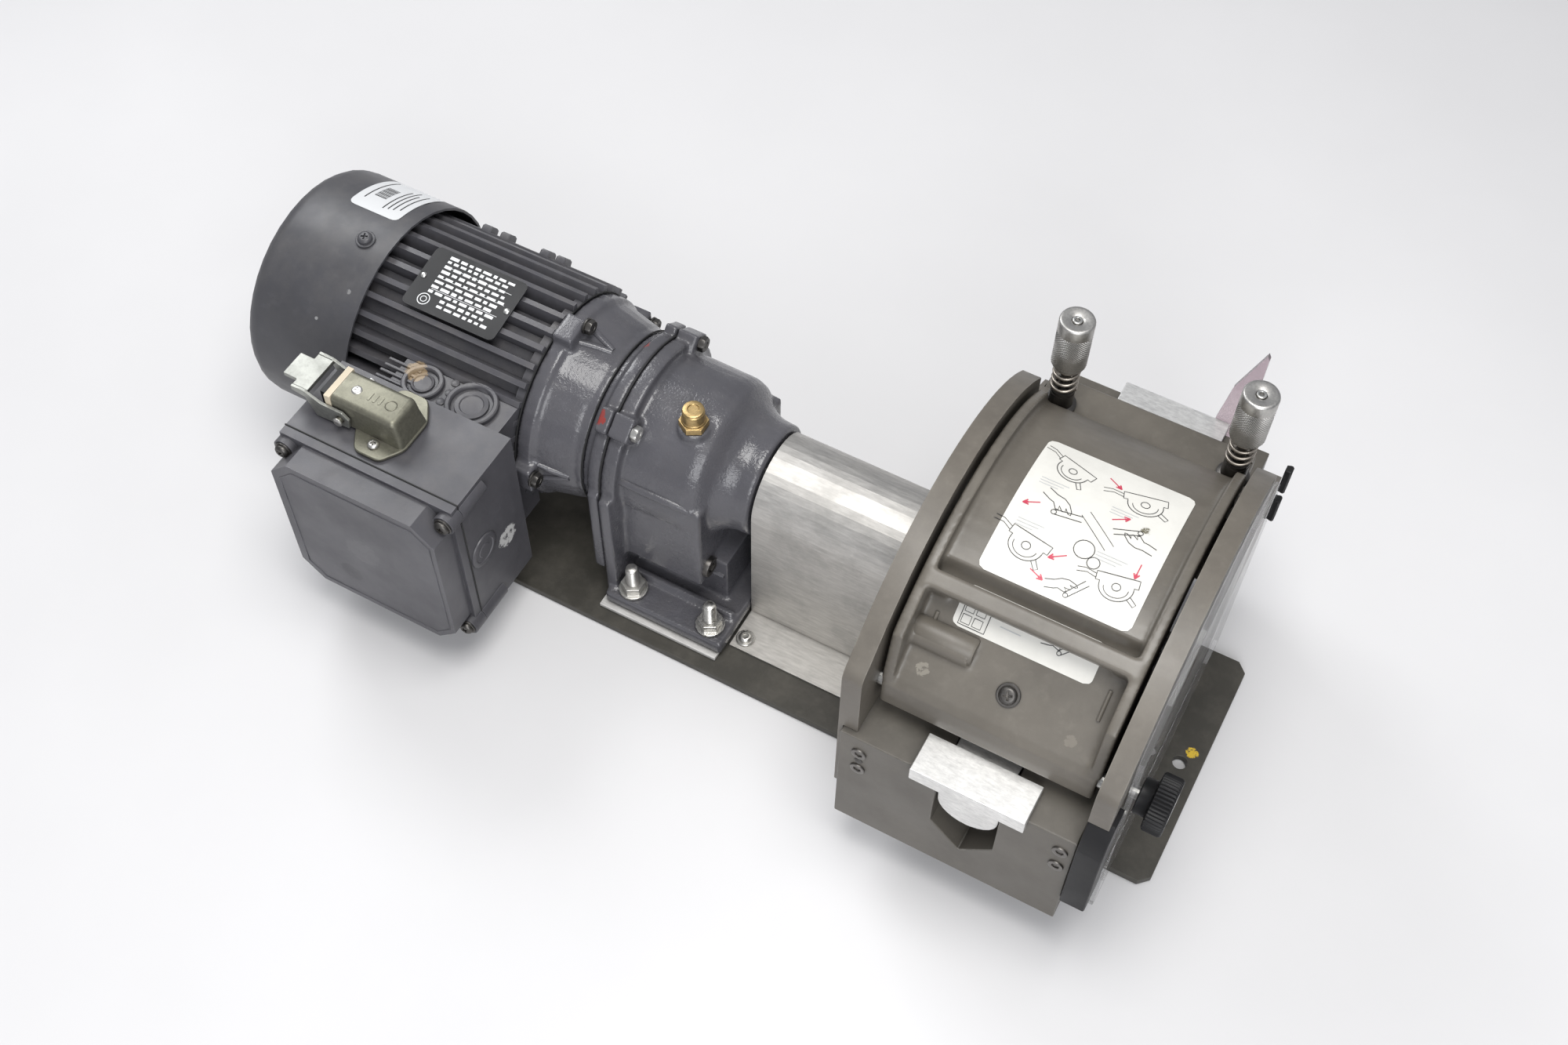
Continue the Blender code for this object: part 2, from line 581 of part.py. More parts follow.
def gear_case():
    """The cast case: a round top, a square sump below it, an output hub, and a foot on one flange web."""
    shoulder = CASE_SHOULDER
    case = turned("gear_case", [(HUB_RIGHT, 0), (HUB_RIGHT, HUB_RADIUS - 1), (HUB_RIGHT - 1, HUB_RADIUS),
                                (-106, HUB_RADIUS + 0.5), (-112, HUB_RADIUS + 2.5), (-117, HUB_RADIUS + 6),
                                (-121, 45), (shoulder, 48), (shoulder - 6, CASE_RADIUS - 0.5),
                                (CASE_LEFT + 9, CASE_RADIUS), (CASE_LEFT + 9, FLANGE_RADIUS),
                                (CASE_LEFT, FLANGE_RADIUS), (CASE_LEFT, 0)], (0, 0, AXIS_Z))
    web = block("foot_web", (CASE_LEFT + 0.5, -62, FOOT_TOP - 3), (CASE_LEFT + 8, 62, AXIS_Z))
    sump = block("case_sump", (CASE_LEFT + 5, -49, SUMP_BOTTOM), (-118, 49, AXIS_Z + 9))
    pedestal = block("foot_pedestal", (CASE_LEFT + 4, -36, FOOT_TOP - 2.5), (-108, 36, SUMP_BOTTOM + 14))
    slab = block("foot_slab", (FOOT_LEFT, -FOOT_HALF_WIDTH, SHIM_TOP + GAP), (FOOT_RIGHT, FOOT_HALF_WIDTH, FOOT_TOP))
    join(case, sump, pedestal, web, slab)
    for side in (-1, 1):
        low, high = sorted((side * 43.5, side * 48.3))
        join(case, block(f"foot_lip_{side}", (CASE_LEFT + 5, low, FOOT_TOP - 1), (FOOT_RIGHT - 3, high, FOOT_TOP + 3.5)))
    for angle in EAR_ANGLES:
        ear = block(f"case_ear_{angle}", (CASE_LEFT + 0.2, CASE_RADIUS - 6, -7.5), (CASE_LEFT + 13, FLANGE_RADIUS + 5, 7.5))
        ear.matrix_world = (Matrix.Translation(Vector((0, 0, AXIS_Z)) * METRES)
                            @ Matrix.Rotation(math.radians(angle), 4, "X") @ ear.matrix_world)
        join(case, ear)
    join(case, rod("vent_boss", (VENT_X, VENT_Y, VENT_SEAT_Z - 7), (VENT_X, VENT_Y, VENT_SEAT_Z), 9.3, sides=20))
    cavity = rod("case_cavity", (CASE_LEFT - 5, 0, AXIS_Z), (-126, 0, AXIS_Z), CASE_CAVITY_RADIUS, sides=32)
    well = block("case_well", (CASE_LEFT - 4, -40, SUMP_BOTTOM + 5), (-123, 40, AXIS_Z))
    seat = rod("output_bearing_seat", (-128, 0, AXIS_Z), (-100, 0, AXIS_Z), 26, sides=24)
    hole = rod("output_shaft_hole", (-110, 0, AXIS_Z), (HUB_RIGHT + 5, 0, AXIS_Z), 12.8)
    foot_channel = block("foot_channel", (FOOT_LEFT - 10, -28, 0), (FOOT_RIGHT + 10, 28, 14))
    cut(case, cavity, well, seat, hole, foot_channel)
    for index, (x, y) in enumerate(foot_bolt_places()):
        cut(case, rod(f"foot_hole_{index}", (x, y, 0), (x, y, FOOT_TOP + 8), 4.5, sides=16))
    cut(case, rod("vent_hole", (VENT_X, VENT_Y, VENT_SEAT_Z - 20), (VENT_X, VENT_Y, VENT_SEAT_Z + 5), 5.0, sides=16))
    finish(case, PAINT_BLUE_GREY, 0.22)


def vent_plug():
    """A brass breather: threaded stem, hex and turned cap."""
    base = VENT_SEAT_Z + GAP
    plug = turned("vent_plug", [(base + 13, 0), (base + 13, 5.5), (base + 12, 6.5), (base + 6, 6.5), (base + 6, 7),
                                (base + 4, 7), (base + 4, 4.7), (base - 12, 4.7), (base - 12, 0)],
                  (VENT_X, VENT_Y, 0), axis="Z", sides=16)
    hexagon = rod("vent_hexagon", (VENT_X, VENT_Y, base), (VENT_X, VENT_Y, base + 4.5), 8.6, sides=6)
    finish(join(plug, hexagon), (0.55, 0.38, 0.14), 0.35, 1.0)


def gear_case_cover():
    """The adapter between motor and gear case, which closes the case."""
    left, right = SHIELD_RIGHT + GAP, COVER_RIGHT
    cover = turned("gear_case_cover", [(right, 0), (right, FLANGE_RADIUS), (right - 8, FLANGE_RADIUS),
                                       (right - 9, ADAPTER_RADIUS), (left, ADAPTER_RADIUS), (left, 0)],
                   (0, 0, AXIS_Z))
    join(cover, block("cover_web", (right - 7.5, -60, 30), (right - 0.2, 60, AXIS_Z)))
    for angle in EAR_ANGLES:
        ear = block(f"cover_ear_{angle}", (right - 7.8, CASE_RADIUS - 6, -7.5), (right - 0.1, FLANGE_RADIUS + 5, 7.5))
        ear.matrix_world = (Matrix.Translation(Vector((0, 0, AXIS_Z)) * METRES)
                            @ Matrix.Rotation(math.radians(angle), 4, "X") @ ear.matrix_world)
        join(cover, ear)
    cut(cover, rod("cover_shaft_hole", (left - 5, 0, AXIS_Z), (right + 5, 0, AXIS_Z), MOTOR_SHAFT_RADIUS + 0.6))
    finish(cover, PAINT_BLUE_GREY, 0.25)


def gear_train():
    """The second shaft with its wheel, and the output shaft with its wheel and bearing."""
    second = turned("second_shaft", [(-126, 0), (-126, 6), (-177, 6), (-177, 0)], (0, 0, SECOND_SHAFT_Z), sides=16)
    pinion = prism("second_pinion", gear_outline(PINION_TEETH, 90), "X", *SECOND_STAGE, (0, 0, SECOND_SHAFT_Z))
    finish(join(second, pinion), STEEL, 0.3, 1.0)
    wheel = prism("first_wheel", gear_outline(WHEEL_TEETH, 90 + 180 / WHEEL_TEETH), "X", *FIRST_STAGE,
                  (0, 0, SECOND_SHAFT_Z))
    cut(wheel, rod("first_wheel_bore", (-180, 0, SECOND_SHAFT_Z), (-155, 0, SECOND_SHAFT_Z), 6 + GAP, sides=16))
    finish(wheel, STEEL, 0.35, 1.0)
    output = turned("output_shaft", [(-50, 0), (-50, 11.5), (-51, 12), (-156, 12), (-156, 0)], (0, 0, AXIS_Z), sides=32)
    finish(output, STEEL, 0.3, 1.0)
    wheel = prism("output_wheel", gear_outline(WHEEL_TEETH, 180 / WHEEL_TEETH - 90), "X", *SECOND_STAGE, (0, 0, AXIS_Z))
    cut(wheel, rod("output_wheel_bore", (-155, 0, AXIS_Z), (-130, 0, AXIS_Z), 12 + GAP, sides=16))
    finish(wheel, STEEL, 0.35, 1.0)
    finish(ring("output_bearing", -117, -101, 12.2, 25.6), STEEL, 0.3, 1.0)


# --- coupling -----------------------------------------------------------------------------------

def coupling():
    """Two jaw hubs and the rubber spider between them."""
    finish(ring("coupling_hub_gear", -77, -50, 12 + GAP, 23.5), ALUMINIUM, 0.4, 1.0)
    finish(ring("coupling_spider", -49.5, -40.5, 8, 23), (0.55, 0.1, 0.05), 0.6)
    finish(ring("coupling_hub_pump", -40, -13, 10 + GAP, 23.5), ALUMINIUM, 0.4, 1.0)


def coupling_guard():
    """One sheet folded over the coupling, with a flange each side on the base plate."""
    bottom = BASE_TOP + GAP
    radius, foot = GUARD_RADIUS, GUARD_FLANGE_Y
    inner = radius - SHEET
    outside = [(foot, bottom + SHEET), (radius, bottom + SHEET)] + arc((0, AXIS_Z), radius, 0, 180, 20)
    outside += [(-radius, bottom + SHEET), (-foot, bottom + SHEET)]
    inside = [(-foot, bottom), (-inner, bottom)] + arc((0, AXIS_Z), inner, 180, 0, 20) + [(inner, bottom), (foot, bottom)]
    guard = prism("coupling_guard", outside + inside, "X", GUARD_LEFT, GUARD_RIGHT)
    finish(guard, ALUMINIUM, 0.3, 1.0)


# --- pump head ----------------------------------------------------------------------------------

def plate_outline():
    """A side plate's outline: arched over the track, with a wing at each end for the port blocks."""
    radius = ARC_RADIUS
    corner = 10.0
    top = arc((ARC_Y, ARC_Z), radius, arc_angle(PLATE_REAR_Y, radius), arc_angle(PLATE_FRONT_Y + corner, radius), 24)
    front_z = arc_height(PLATE_FRONT_Y + corner, radius)
    shoulder = arc((PLATE_FRONT_Y + corner, front_z - corner - 2), corner, 110, 180, 4)
    foot = BASE_TOP + GAP
    return [(-76, foot), (76, foot), (96, 45), (128, 60), (128, 122), (PLATE_REAR_Y, 150)] + top + shoulder + [
        (PLATE_FRONT_Y, 66), (-124, 50), (-96, 45)]


def pump_plate(name, x, lug_low, lug_high, latch_x):
    """A side plate, with the lug inside it that takes a track latch."""
    plate = prism(name, plate_outline(), "X", x, x + PLATE_THICKNESS)
    join(plate, block(f"{name}_lug", (lug_low, LATCH_Y - 9, 118), (lug_high, LATCH_Y + 9, 146)))
    below, above = x - 5, x + PLATE_THICKNESS + 5
    cut(plate, rod(f"{name}_shaft_hole", (below, 0, AXIS_Z), (above, 0, AXIS_Z), 10.6, sides=32))
    cut(plate, rod(f"{name}_pivot_hole", (below, PIVOT_Y, PIVOT_Z), (above, PIVOT_Y, PIVOT_Z), 4 + GAP, sides=16))
    cut(plate, rod(f"{name}_latch_hole", (latch_x, LATCH_Y + 1, 110), (latch_x, LATCH_Y + 1, 150), 6.0, sides=16))
    return plate


def pump_plates():
    """The back plate is thinned where the port blocks lap it; the front plate is cut back for the catch."""
    back = pump_plate("pump_back_plate", BACK_PLATE_X, BACK_PLATE_X + 6, LATCH_X[0] + 8, LATCH_X[0])
    inner = PORT_FACE_Y - PORT_DEPTH - GAP
    for side in (-1, 1):
        low, high = sorted((side * inner, side * 200))
        cut(back, block(f"block_seat_{side}", (PORT_LEFT - GAP, low, 0), (60, high, PORT_TOP + GAP)))
    finish(back, PAINT_OLIVE, 0.45)
    front = pump_plate("pump_front_plate", FRONT_PLATE_X, LATCH_X[1] - 8, FRONT_PLATE_X + 4, LATCH_X[1])
    hole = rod("thumbscrew_hole", (FRONT_PLATE_X - 5, THUMBSCREW_Y, THUMBSCREW_Z),
               (GUARD_SHEET_X[0], THUMBSCREW_Y, THUMBSCREW_Z), 4 + GAP, sides=16)
    seat = block("catch_seat", (FRONT_PLATE_X - 5, -200, 0), (FRONT_PLATE_X + 20, CATCH_BACK_Y + GAP, CATCH_TOP + GAP))
    cut(front, hole, seat)
    finish(front, PAINT_OLIVE, 0.45)


def port_block(name, side, left):
    """The block that a hose end passes through: a slot open at the top, with a vee floor."""
    face, inner = side * PORT_FACE_Y, side * (PORT_FACE_Y - PORT_DEPTH)
    low, high = min(face, inner), max(face, inner)
    port = block(name, (left, low, PORT_BOTTOM), (PORT_RIGHT, high, PORT_TOP))
    half, centre = PORT_HALF_WIDTH, PUMP_CENTRE_X
    slot = [(centre - half, PORT_TOP + 5), (centre - half, VEE_SHOULDER_Z), (centre, VEE_APEX_Z),
            (centre + half, VEE_SHOULDER_Z), (centre + half, PORT_TOP + 5)]
    cut(port, prism(f"{name}_slot", slot, "Y", low - 5, high + 5))
    finish(port, PAINT_OLIVE, 0.45)


def clamp(name, side):
    """A bar across the slot, with the round-nosed jaw below it that holds the hose."""
    low, high = sorted((side * 118, side * 141))
    bar = block(name, (CLAMP_LEFT, low, PORT_TOP + GAP), (CLAMP_RIGHT, high, CLAMP_TOP))
    lip_low, lip_high = sorted((side * (PORT_FACE_Y + 1), side * 141))
    lip = block(f"{name}_lip", (CLAMP_LEFT, lip_low, PORT_TOP - 5), (CLAMP_RIGHT, lip_high, CLAMP_TOP - 1))
    half = PORT_HALF_WIDTH - 0.7
    centre = PUMP_CENTRE_X
    nose = [(centre + half, PORT_TOP + 2)] + arc((centre, 104), half, 0, -180, 14) + [(centre - half, PORT_TOP + 2)]
    jaw_low, jaw_high = sorted((side * 104, side * 134))
    jaw = prism(f"{name}_jaw", nose, "Y", jaw_low, jaw_high)
    join(bar, lip, jaw)
    finish(bar, ALUMINIUM, 0.35, 1.0)


def track_outline():
    """The track's section: an arched back, a sloping front panel, a rear shelf and the bore over the rotor."""
    radius = TRACK_RADIUS
    back = arc((ARC_Y, ARC_Z), radius, arc_angle(70, radius), arc_angle(-64, radius), 18)
    nose = [(-66, 199), (-113, 161), (-116.5, 156), (-117.5, 148), (-117.5, 140), (-115, 137)]
    bottom = math.degrees(math.asin((137 - AXIS_Z) / TRACK_BORE))
    rear = math.degrees(math.asin((150 - AXIS_Z) / TRACK_BORE))
    bore = arc((0, AXIS_Z), TRACK_BORE, 180 - bottom, rear, 24)
    return back + nose + bore + [(95, 150), (97, 152), (97, SHELF_Z), (72.5, SHELF_Z)]


def rim_outline():
    """The raised edge along each side of the track."""
    outer, inner = TRACK_RIM_RADIUS, TRACK_BORE + 1.5
    top = arc((ARC_Y, ARC_Z), outer, arc_angle(68, outer), arc_angle(-108, outer), 20)
    return top + [(-116, 158)] + arc((0, AXIS_Z), inner, 150, 42, 20)


def track():
    """The hinged track: the casting that presses the hose on the rollers, with its lifting handle."""
    casting = prism("track", track_outline(), "X", TRACK_LEFT + 1, TRACK_RIGHT - 1)
    for index, low in enumerate((TRACK_LEFT, TRACK_RIGHT - 6)):
        join(casting, prism(f"track_rim_{index}", rim_outline(), "X", low, low + 6))
    tilt = Matrix.Rotation(math.radians(arc_angle(HANDLE_Y, TRACK_RIM_RADIUS) - 90), 4, "X")
    place = Matrix.Translation(Vector((0, HANDLE_Y, HANDLE_Z)) * METRES) @ tilt
    bar = block("handle_bar", (TRACK_LEFT + 3, -5, -4), (TRACK_RIGHT - 3, 5, 4))
    left_post = block("handle_post_left", (TRACK_LEFT + 5, -4.4, -20), (TRACK_LEFT + 15, 4.4, 3))
    right_post = block("handle_post_right", (TRACK_RIGHT - 15, -4.4, -20), (TRACK_RIGHT - 5, 4.4, 3))
    for piece in (bar, left_post, right_post):
        piece.matrix_world = place @ piece.matrix_world
    boss = rod("track_boss", (TRACK_LEFT + 4, -93, 177), (64, -93, 177), 7.0, sides=16)
    join(casting, bar, left_post, right_post, boss)
    low, high = TRACK_LEFT - 5, TRACK_RIGHT + 5
    cut(casting, rod("pivot_bore", (low, PIVOT_Y, PIVOT_Z), (high, PIVOT_Y, PIVOT_Z), 4 + GAP, sides=16))
    for index, x in enumerate(LATCH_X):
        cut(casting, rod(f"track_latch_hole_{index}", (x, LATCH_Y, 130), (x, LATCH_Y, 200), 6.0, sides=16))
    finish(casting, PAINT_OLIVE, 0.45)


def track_pin():
    low, high = BACK_PLATE_X + 1, FRONT_PLATE_X + PLATE_THICKNESS - 1
    pin = rod("track_pin", (low, PIVOT_Y, PIVOT_Z), (high, PIVOT_Y, PIVOT_Z), 4.0, sides=16)
    finish(pin, STEEL, 0.35, 1.0)


def track_latch(name, x):
    """A sprung push-and-turn latch: a sleeve in the track's shelf, a stem down into the plate's lug, a knob."""
    top = SPRING_BOTTOM - GAP
    sleeve = [(top, 3 + GAP), (top, 6.5), (top - 2, 6.5), (top - 2, 5.5), (162, 5.5), (162, 3 + GAP)]
    finish(turned(f"latch_sleeve_{name}", sleeve, (x, LATCH_Y, 0), axis="Z", sides=24, closed=True),
           (0.09, 0.09, 0.09), 0.4, 0.9)
    stem = [(KNOB_BOTTOM + 20, 0), (KNOB_BOTTOM + 20, 3), (129, 3), (127, 2), (127, 0)]
    finish(turned(f"latch_stem_{name}", stem, (x, LATCH_Y, 0), axis="Z", sides=16), STEEL, 0.4, 1.0)
    inner = 3 + GAP
    knob = [(KNOB_TOP, 1.6), (KNOB_TOP, KNOB_RADIUS - 1.2), (KNOB_TOP - 1.2, KNOB_RADIUS),
            (KNOB_BOTTOM + 1.5, KNOB_RADIUS), (KNOB_BOTTOM, KNOB_RADIUS - 1.5), (KNOB_BOTTOM, inner),
            (KNOB_BOTTOM + 20 + GAP, inner), (KNOB_BOTTOM + 20 + GAP, 1.6)]
    finish(turned(f"latch_knob_{name}", knob, (x, LATCH_Y, 0), axis="Z", sides=28, closed=True), STEEL, 0.35, 1.0)
    coil_spring(f"latch_spring_{name}", x)


def coil_spring(name, x):
    wire, radius, turns, steps = 0.9, 6.6, 4.0, 40
    low, high = SPRING_BOTTOM + wire, KNOB_BOTTOM - GAP - wire
    curve = bpy.data.curves.new(name, "CURVE")
    curve.dimensions = "3D"
    curve.bevel_depth = wire * METRES
    curve.bevel_resolution = 2
    curve.use_fill_caps = True
    spline = curve.splines.new("POLY")
    spline.points.add(steps)
    for index, point in enumerate(spline.points):
        share = index / steps
        angle = 2 * math.pi * turns * share
        height = low + (high - low) * share
        point.co = (radius * math.cos(angle) * METRES, radius * math.sin(angle) * METRES, height * METRES, 1.0)
    spring = bpy.data.objects.new(name, curve)
    spring.location = (x * METRES, LATCH_Y * METRES, 0)
    PARTS.objects.link(spring)
    material = bpy.data.materials.new(name + "_finish")
    material.use_nodes = True
    shader = material.node_tree.nodes["Principled BSDF"]
    shader.inputs["Base Color"].default_value = (*STEEL, 1.0)
    shader.inputs["Roughness"].default_value = 0.3
    shader.inputs["Metallic"].default_value = 1.0
    curve.materials.append(material)


def rotor():
    """The rotor on the pump shaft: two cheeks with four roller pins between them."""
    left, right = ROTOR_CHEEKS
    hub = turned("rotor_hub", [(152, 0), (152, 10), (right, 10), (right, 60), (right - 6, 60), (right - 6, 20),
                               (left + 6, 20), (left + 6, 60), (left, 60), (left, 10), (-39, 10), (-39, 0)],
                 (0, 0, AXIS_Z), sides=24)
    for angle in ROLLER_ANGLES:
        y, z = polar(ROLLER_ORBIT, angle)
        boss_left = rod(f"pin_boss_left_{angle}", (left + 0.2, y, z), (left + 5.8, y, z), 12, sides=12)
        boss_right = rod(f"pin_boss_right_{angle}", (right - 5.8, y, z), (right - 0.2, y, z), 12, sides=12)
        pin = rod(f"roller_pin_{angle}", (left - 2, y, z), (right + 2, y, z), 5, sides=12)
        join(hub, boss_left, boss_right, pin)
    finish(hub, (0.35, 0.35, 0.36), 0.4, 0.9)
    for index, angle in enumerate(ROLLER_ANGLES):
        y, z = polar(ROLLER_ORBIT, angle)
        roller = ring(f"roller_{index + 1}", left + 6.5, right - 6.5, 5.3, ROLLER_RADIUS, y, z, sides=24)
        finish(roller, (0.7, 0.69, 0.66), 0.4)


def clear_guard():
    """The clear sheet over the pump's front face, hinged at the rear and held by a thumbscrew."""
    low, high = GUARD_SHEET_X
    radius = ARC_RADIUS - 3
    top = arc((ARC_Y, ARC_Z), radius, arc_angle(GUARD_HINGE_Y, radius), arc_angle(-114, radius), 18)
    outline = [(-114, 20), (GUARD_HINGE_Y, 20)] + top
    sheet = prism("clear_guard", outline, "X", low, high)
    hinge = rod("guard_hinge_roll", (high, GUARD_HINGE_Y + 1, 24), (high, GUARD_HINGE_Y + 1, 197), 3.0, sides=16)
    join(sheet, hinge)
    cut(sheet, rod("guard_screw_hole", (low - 5, THUMBSCREW_Y, THUMBSCREW_Z),
                   (high + 5, THUMBSCREW_Y, THUMBSCREW_Z), 4 + GAP, sides=16))
    finish(sheet, (0.8, 0.8, 0.82), 0.1)


def guard_fastener():
    """A quarter-turn fastener: a stud through the sheet into the front plate, and the knurled head on it."""
    tip = FRONT_PLATE_X + PLATE_THICKNESS - 4
    stud = [(178, 0), (178, 3.5), (tip + 1, 3.5), (tip, 2.5), (tip, 0)]
    finish(turned("guard_stud", stud, (0, THUMBSCREW_Y, THUMBSCREW_Z), sides=24), STEEL, 0.35, 1.0)
    near, far = GUARD_SHEET_X[1] + GAP, 180.5
    bore = 3.5 + GAP
    head = [(far, 1.5), (far, 14.8), (far - 1, 16), (170, 16), (169, 14.8), (169, 10), (near, 10), (near, bore),
            (178 + GAP, bore), (178 + GAP, 1.5)]
    finish(turned("guard_thumbscrew", head, (0, THUMBSCREW_Y, THUMBSCREW_Z), sides=32, closed=True), BLACK_PLASTIC, 0.45)


def guard_catch():
    """The moulded catch on the lower front corner of the front plate."""
    outline = [(CATCH_BACK_Y, 62), (-136, 62), (-140, 68), (-140, 128), (-136, 140), (-130, CATCH_TOP),
               (CATCH_BACK_Y, CATCH_TOP)]
    catch = prism("guard_catch", outline, "X", FRONT_PLATE_X, FRONT_PLATE_X + 13.5)
    finish(catch, BLACK_PLASTIC, 0.4)


def rear_port_guard():
    """A clear fin on a spacer, standing up behind the rear clamp."""
    outline = [(111, 62), (128.5, 62), (128.5, 192), (127, 195), (115, 161), (111, 132)]
    fin = prism("rear_port_guard", outline, "Y", PORT_FACE_Y + 5, PORT_FACE_Y + 8)
    spacer = block("fin_spacer", (121.5, PORT_FACE_Y + GAP, 66), (128, PORT_FACE_Y + 6, 120))
    finish(join(fin, spacer), (0.8, 0.78, 0.82), 0.1)


def build_all():
    base_plate()
    foot_shim("foot_shim_front", -1)
    foot_shim("foot_shim_rear", 1)
    for index, (x, y) in enumerate(foot_bolt_places()):
        foot_bolt(index + 1, x, y)
    motor_housing()
    drive_end_shield()
    fan_end_shield()
    fan_cover()
    cooling_fan()
    stator()
    motor_rotor()
    nameplate()
    terminal_box()
    terminal_box_cover()
    terminal_block()
    connector_housing()
    connector_insert_and_seal()
    connector_lever()
    gear_case()
    vent_plug()
    gear_case_cover()
    gear_train()
    coupling()
    coupling_guard()
    pump_plates()
    port_block("front_port_block", -1, PORT_LEFT)
    port_block("rear_port_block", 1, PORT_LEFT)
    clamp("front_clamp", -1)
    clamp("rear_clamp", 1)
    track()
    track_pin()
    track_latch("left", LATCH_X[0])
    track_latch("right", LATCH_X[1])
    rotor()
    clear_guard()
    guard_fastener()
    guard_catch()
    rear_port_guard()


clear_scene()
PARTS = new_collection("hose_pump_drive")
CUTTERS = new_collection("cutters")
build_all()
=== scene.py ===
"""Looks for the hose pump and its in-line gear motor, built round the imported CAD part.

Sizes are millimetres in the part's own frame: +X from the motor to the pump, +Z up, y 0 on the
shaft line, z 0 under the base plate. The helpers turn them into metres.
"""
import math
import random

import bmesh
import bpy
from mathutils import Matrix, Vector


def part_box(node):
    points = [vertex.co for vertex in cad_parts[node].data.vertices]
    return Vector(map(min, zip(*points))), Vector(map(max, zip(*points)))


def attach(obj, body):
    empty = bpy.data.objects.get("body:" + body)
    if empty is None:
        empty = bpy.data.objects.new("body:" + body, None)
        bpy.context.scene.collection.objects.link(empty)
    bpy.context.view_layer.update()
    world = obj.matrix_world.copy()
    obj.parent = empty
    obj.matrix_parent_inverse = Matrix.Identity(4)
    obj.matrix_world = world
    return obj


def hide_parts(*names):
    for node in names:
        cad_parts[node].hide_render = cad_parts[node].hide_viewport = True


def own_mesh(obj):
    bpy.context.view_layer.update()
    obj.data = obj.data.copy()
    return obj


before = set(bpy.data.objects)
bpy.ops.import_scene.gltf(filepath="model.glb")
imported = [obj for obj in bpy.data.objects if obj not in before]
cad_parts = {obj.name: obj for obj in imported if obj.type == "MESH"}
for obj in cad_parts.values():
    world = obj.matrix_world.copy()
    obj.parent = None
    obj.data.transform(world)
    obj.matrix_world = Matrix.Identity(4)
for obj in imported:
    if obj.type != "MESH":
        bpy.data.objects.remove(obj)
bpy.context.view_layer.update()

MM = 0.001
SAME_POINT = 0.00002  # metres: corners of the CAD mesh this close are one
AXIS_Z = 102.0  # the shaft line
COVER_RADIUS = 72.5  # the fan cover's round side
ARC_Y, ARC_Z, TRACK_RADIUS = -22.0, 72.0, 140.0  # the track's round top
LATCH_Y = 77.0
LATCH_X = {"left": 37.0, "right": 136.5}
PLUG_Y = -100.5  # the middle of the connector
FILM_LIFT, LABEL_INK, PLATE_INK = 0.04, 0.42, 0.16  # how far films and prints stand off a surface
random.seed(7)


# --- materials ----------------------------------------------------------------------------------

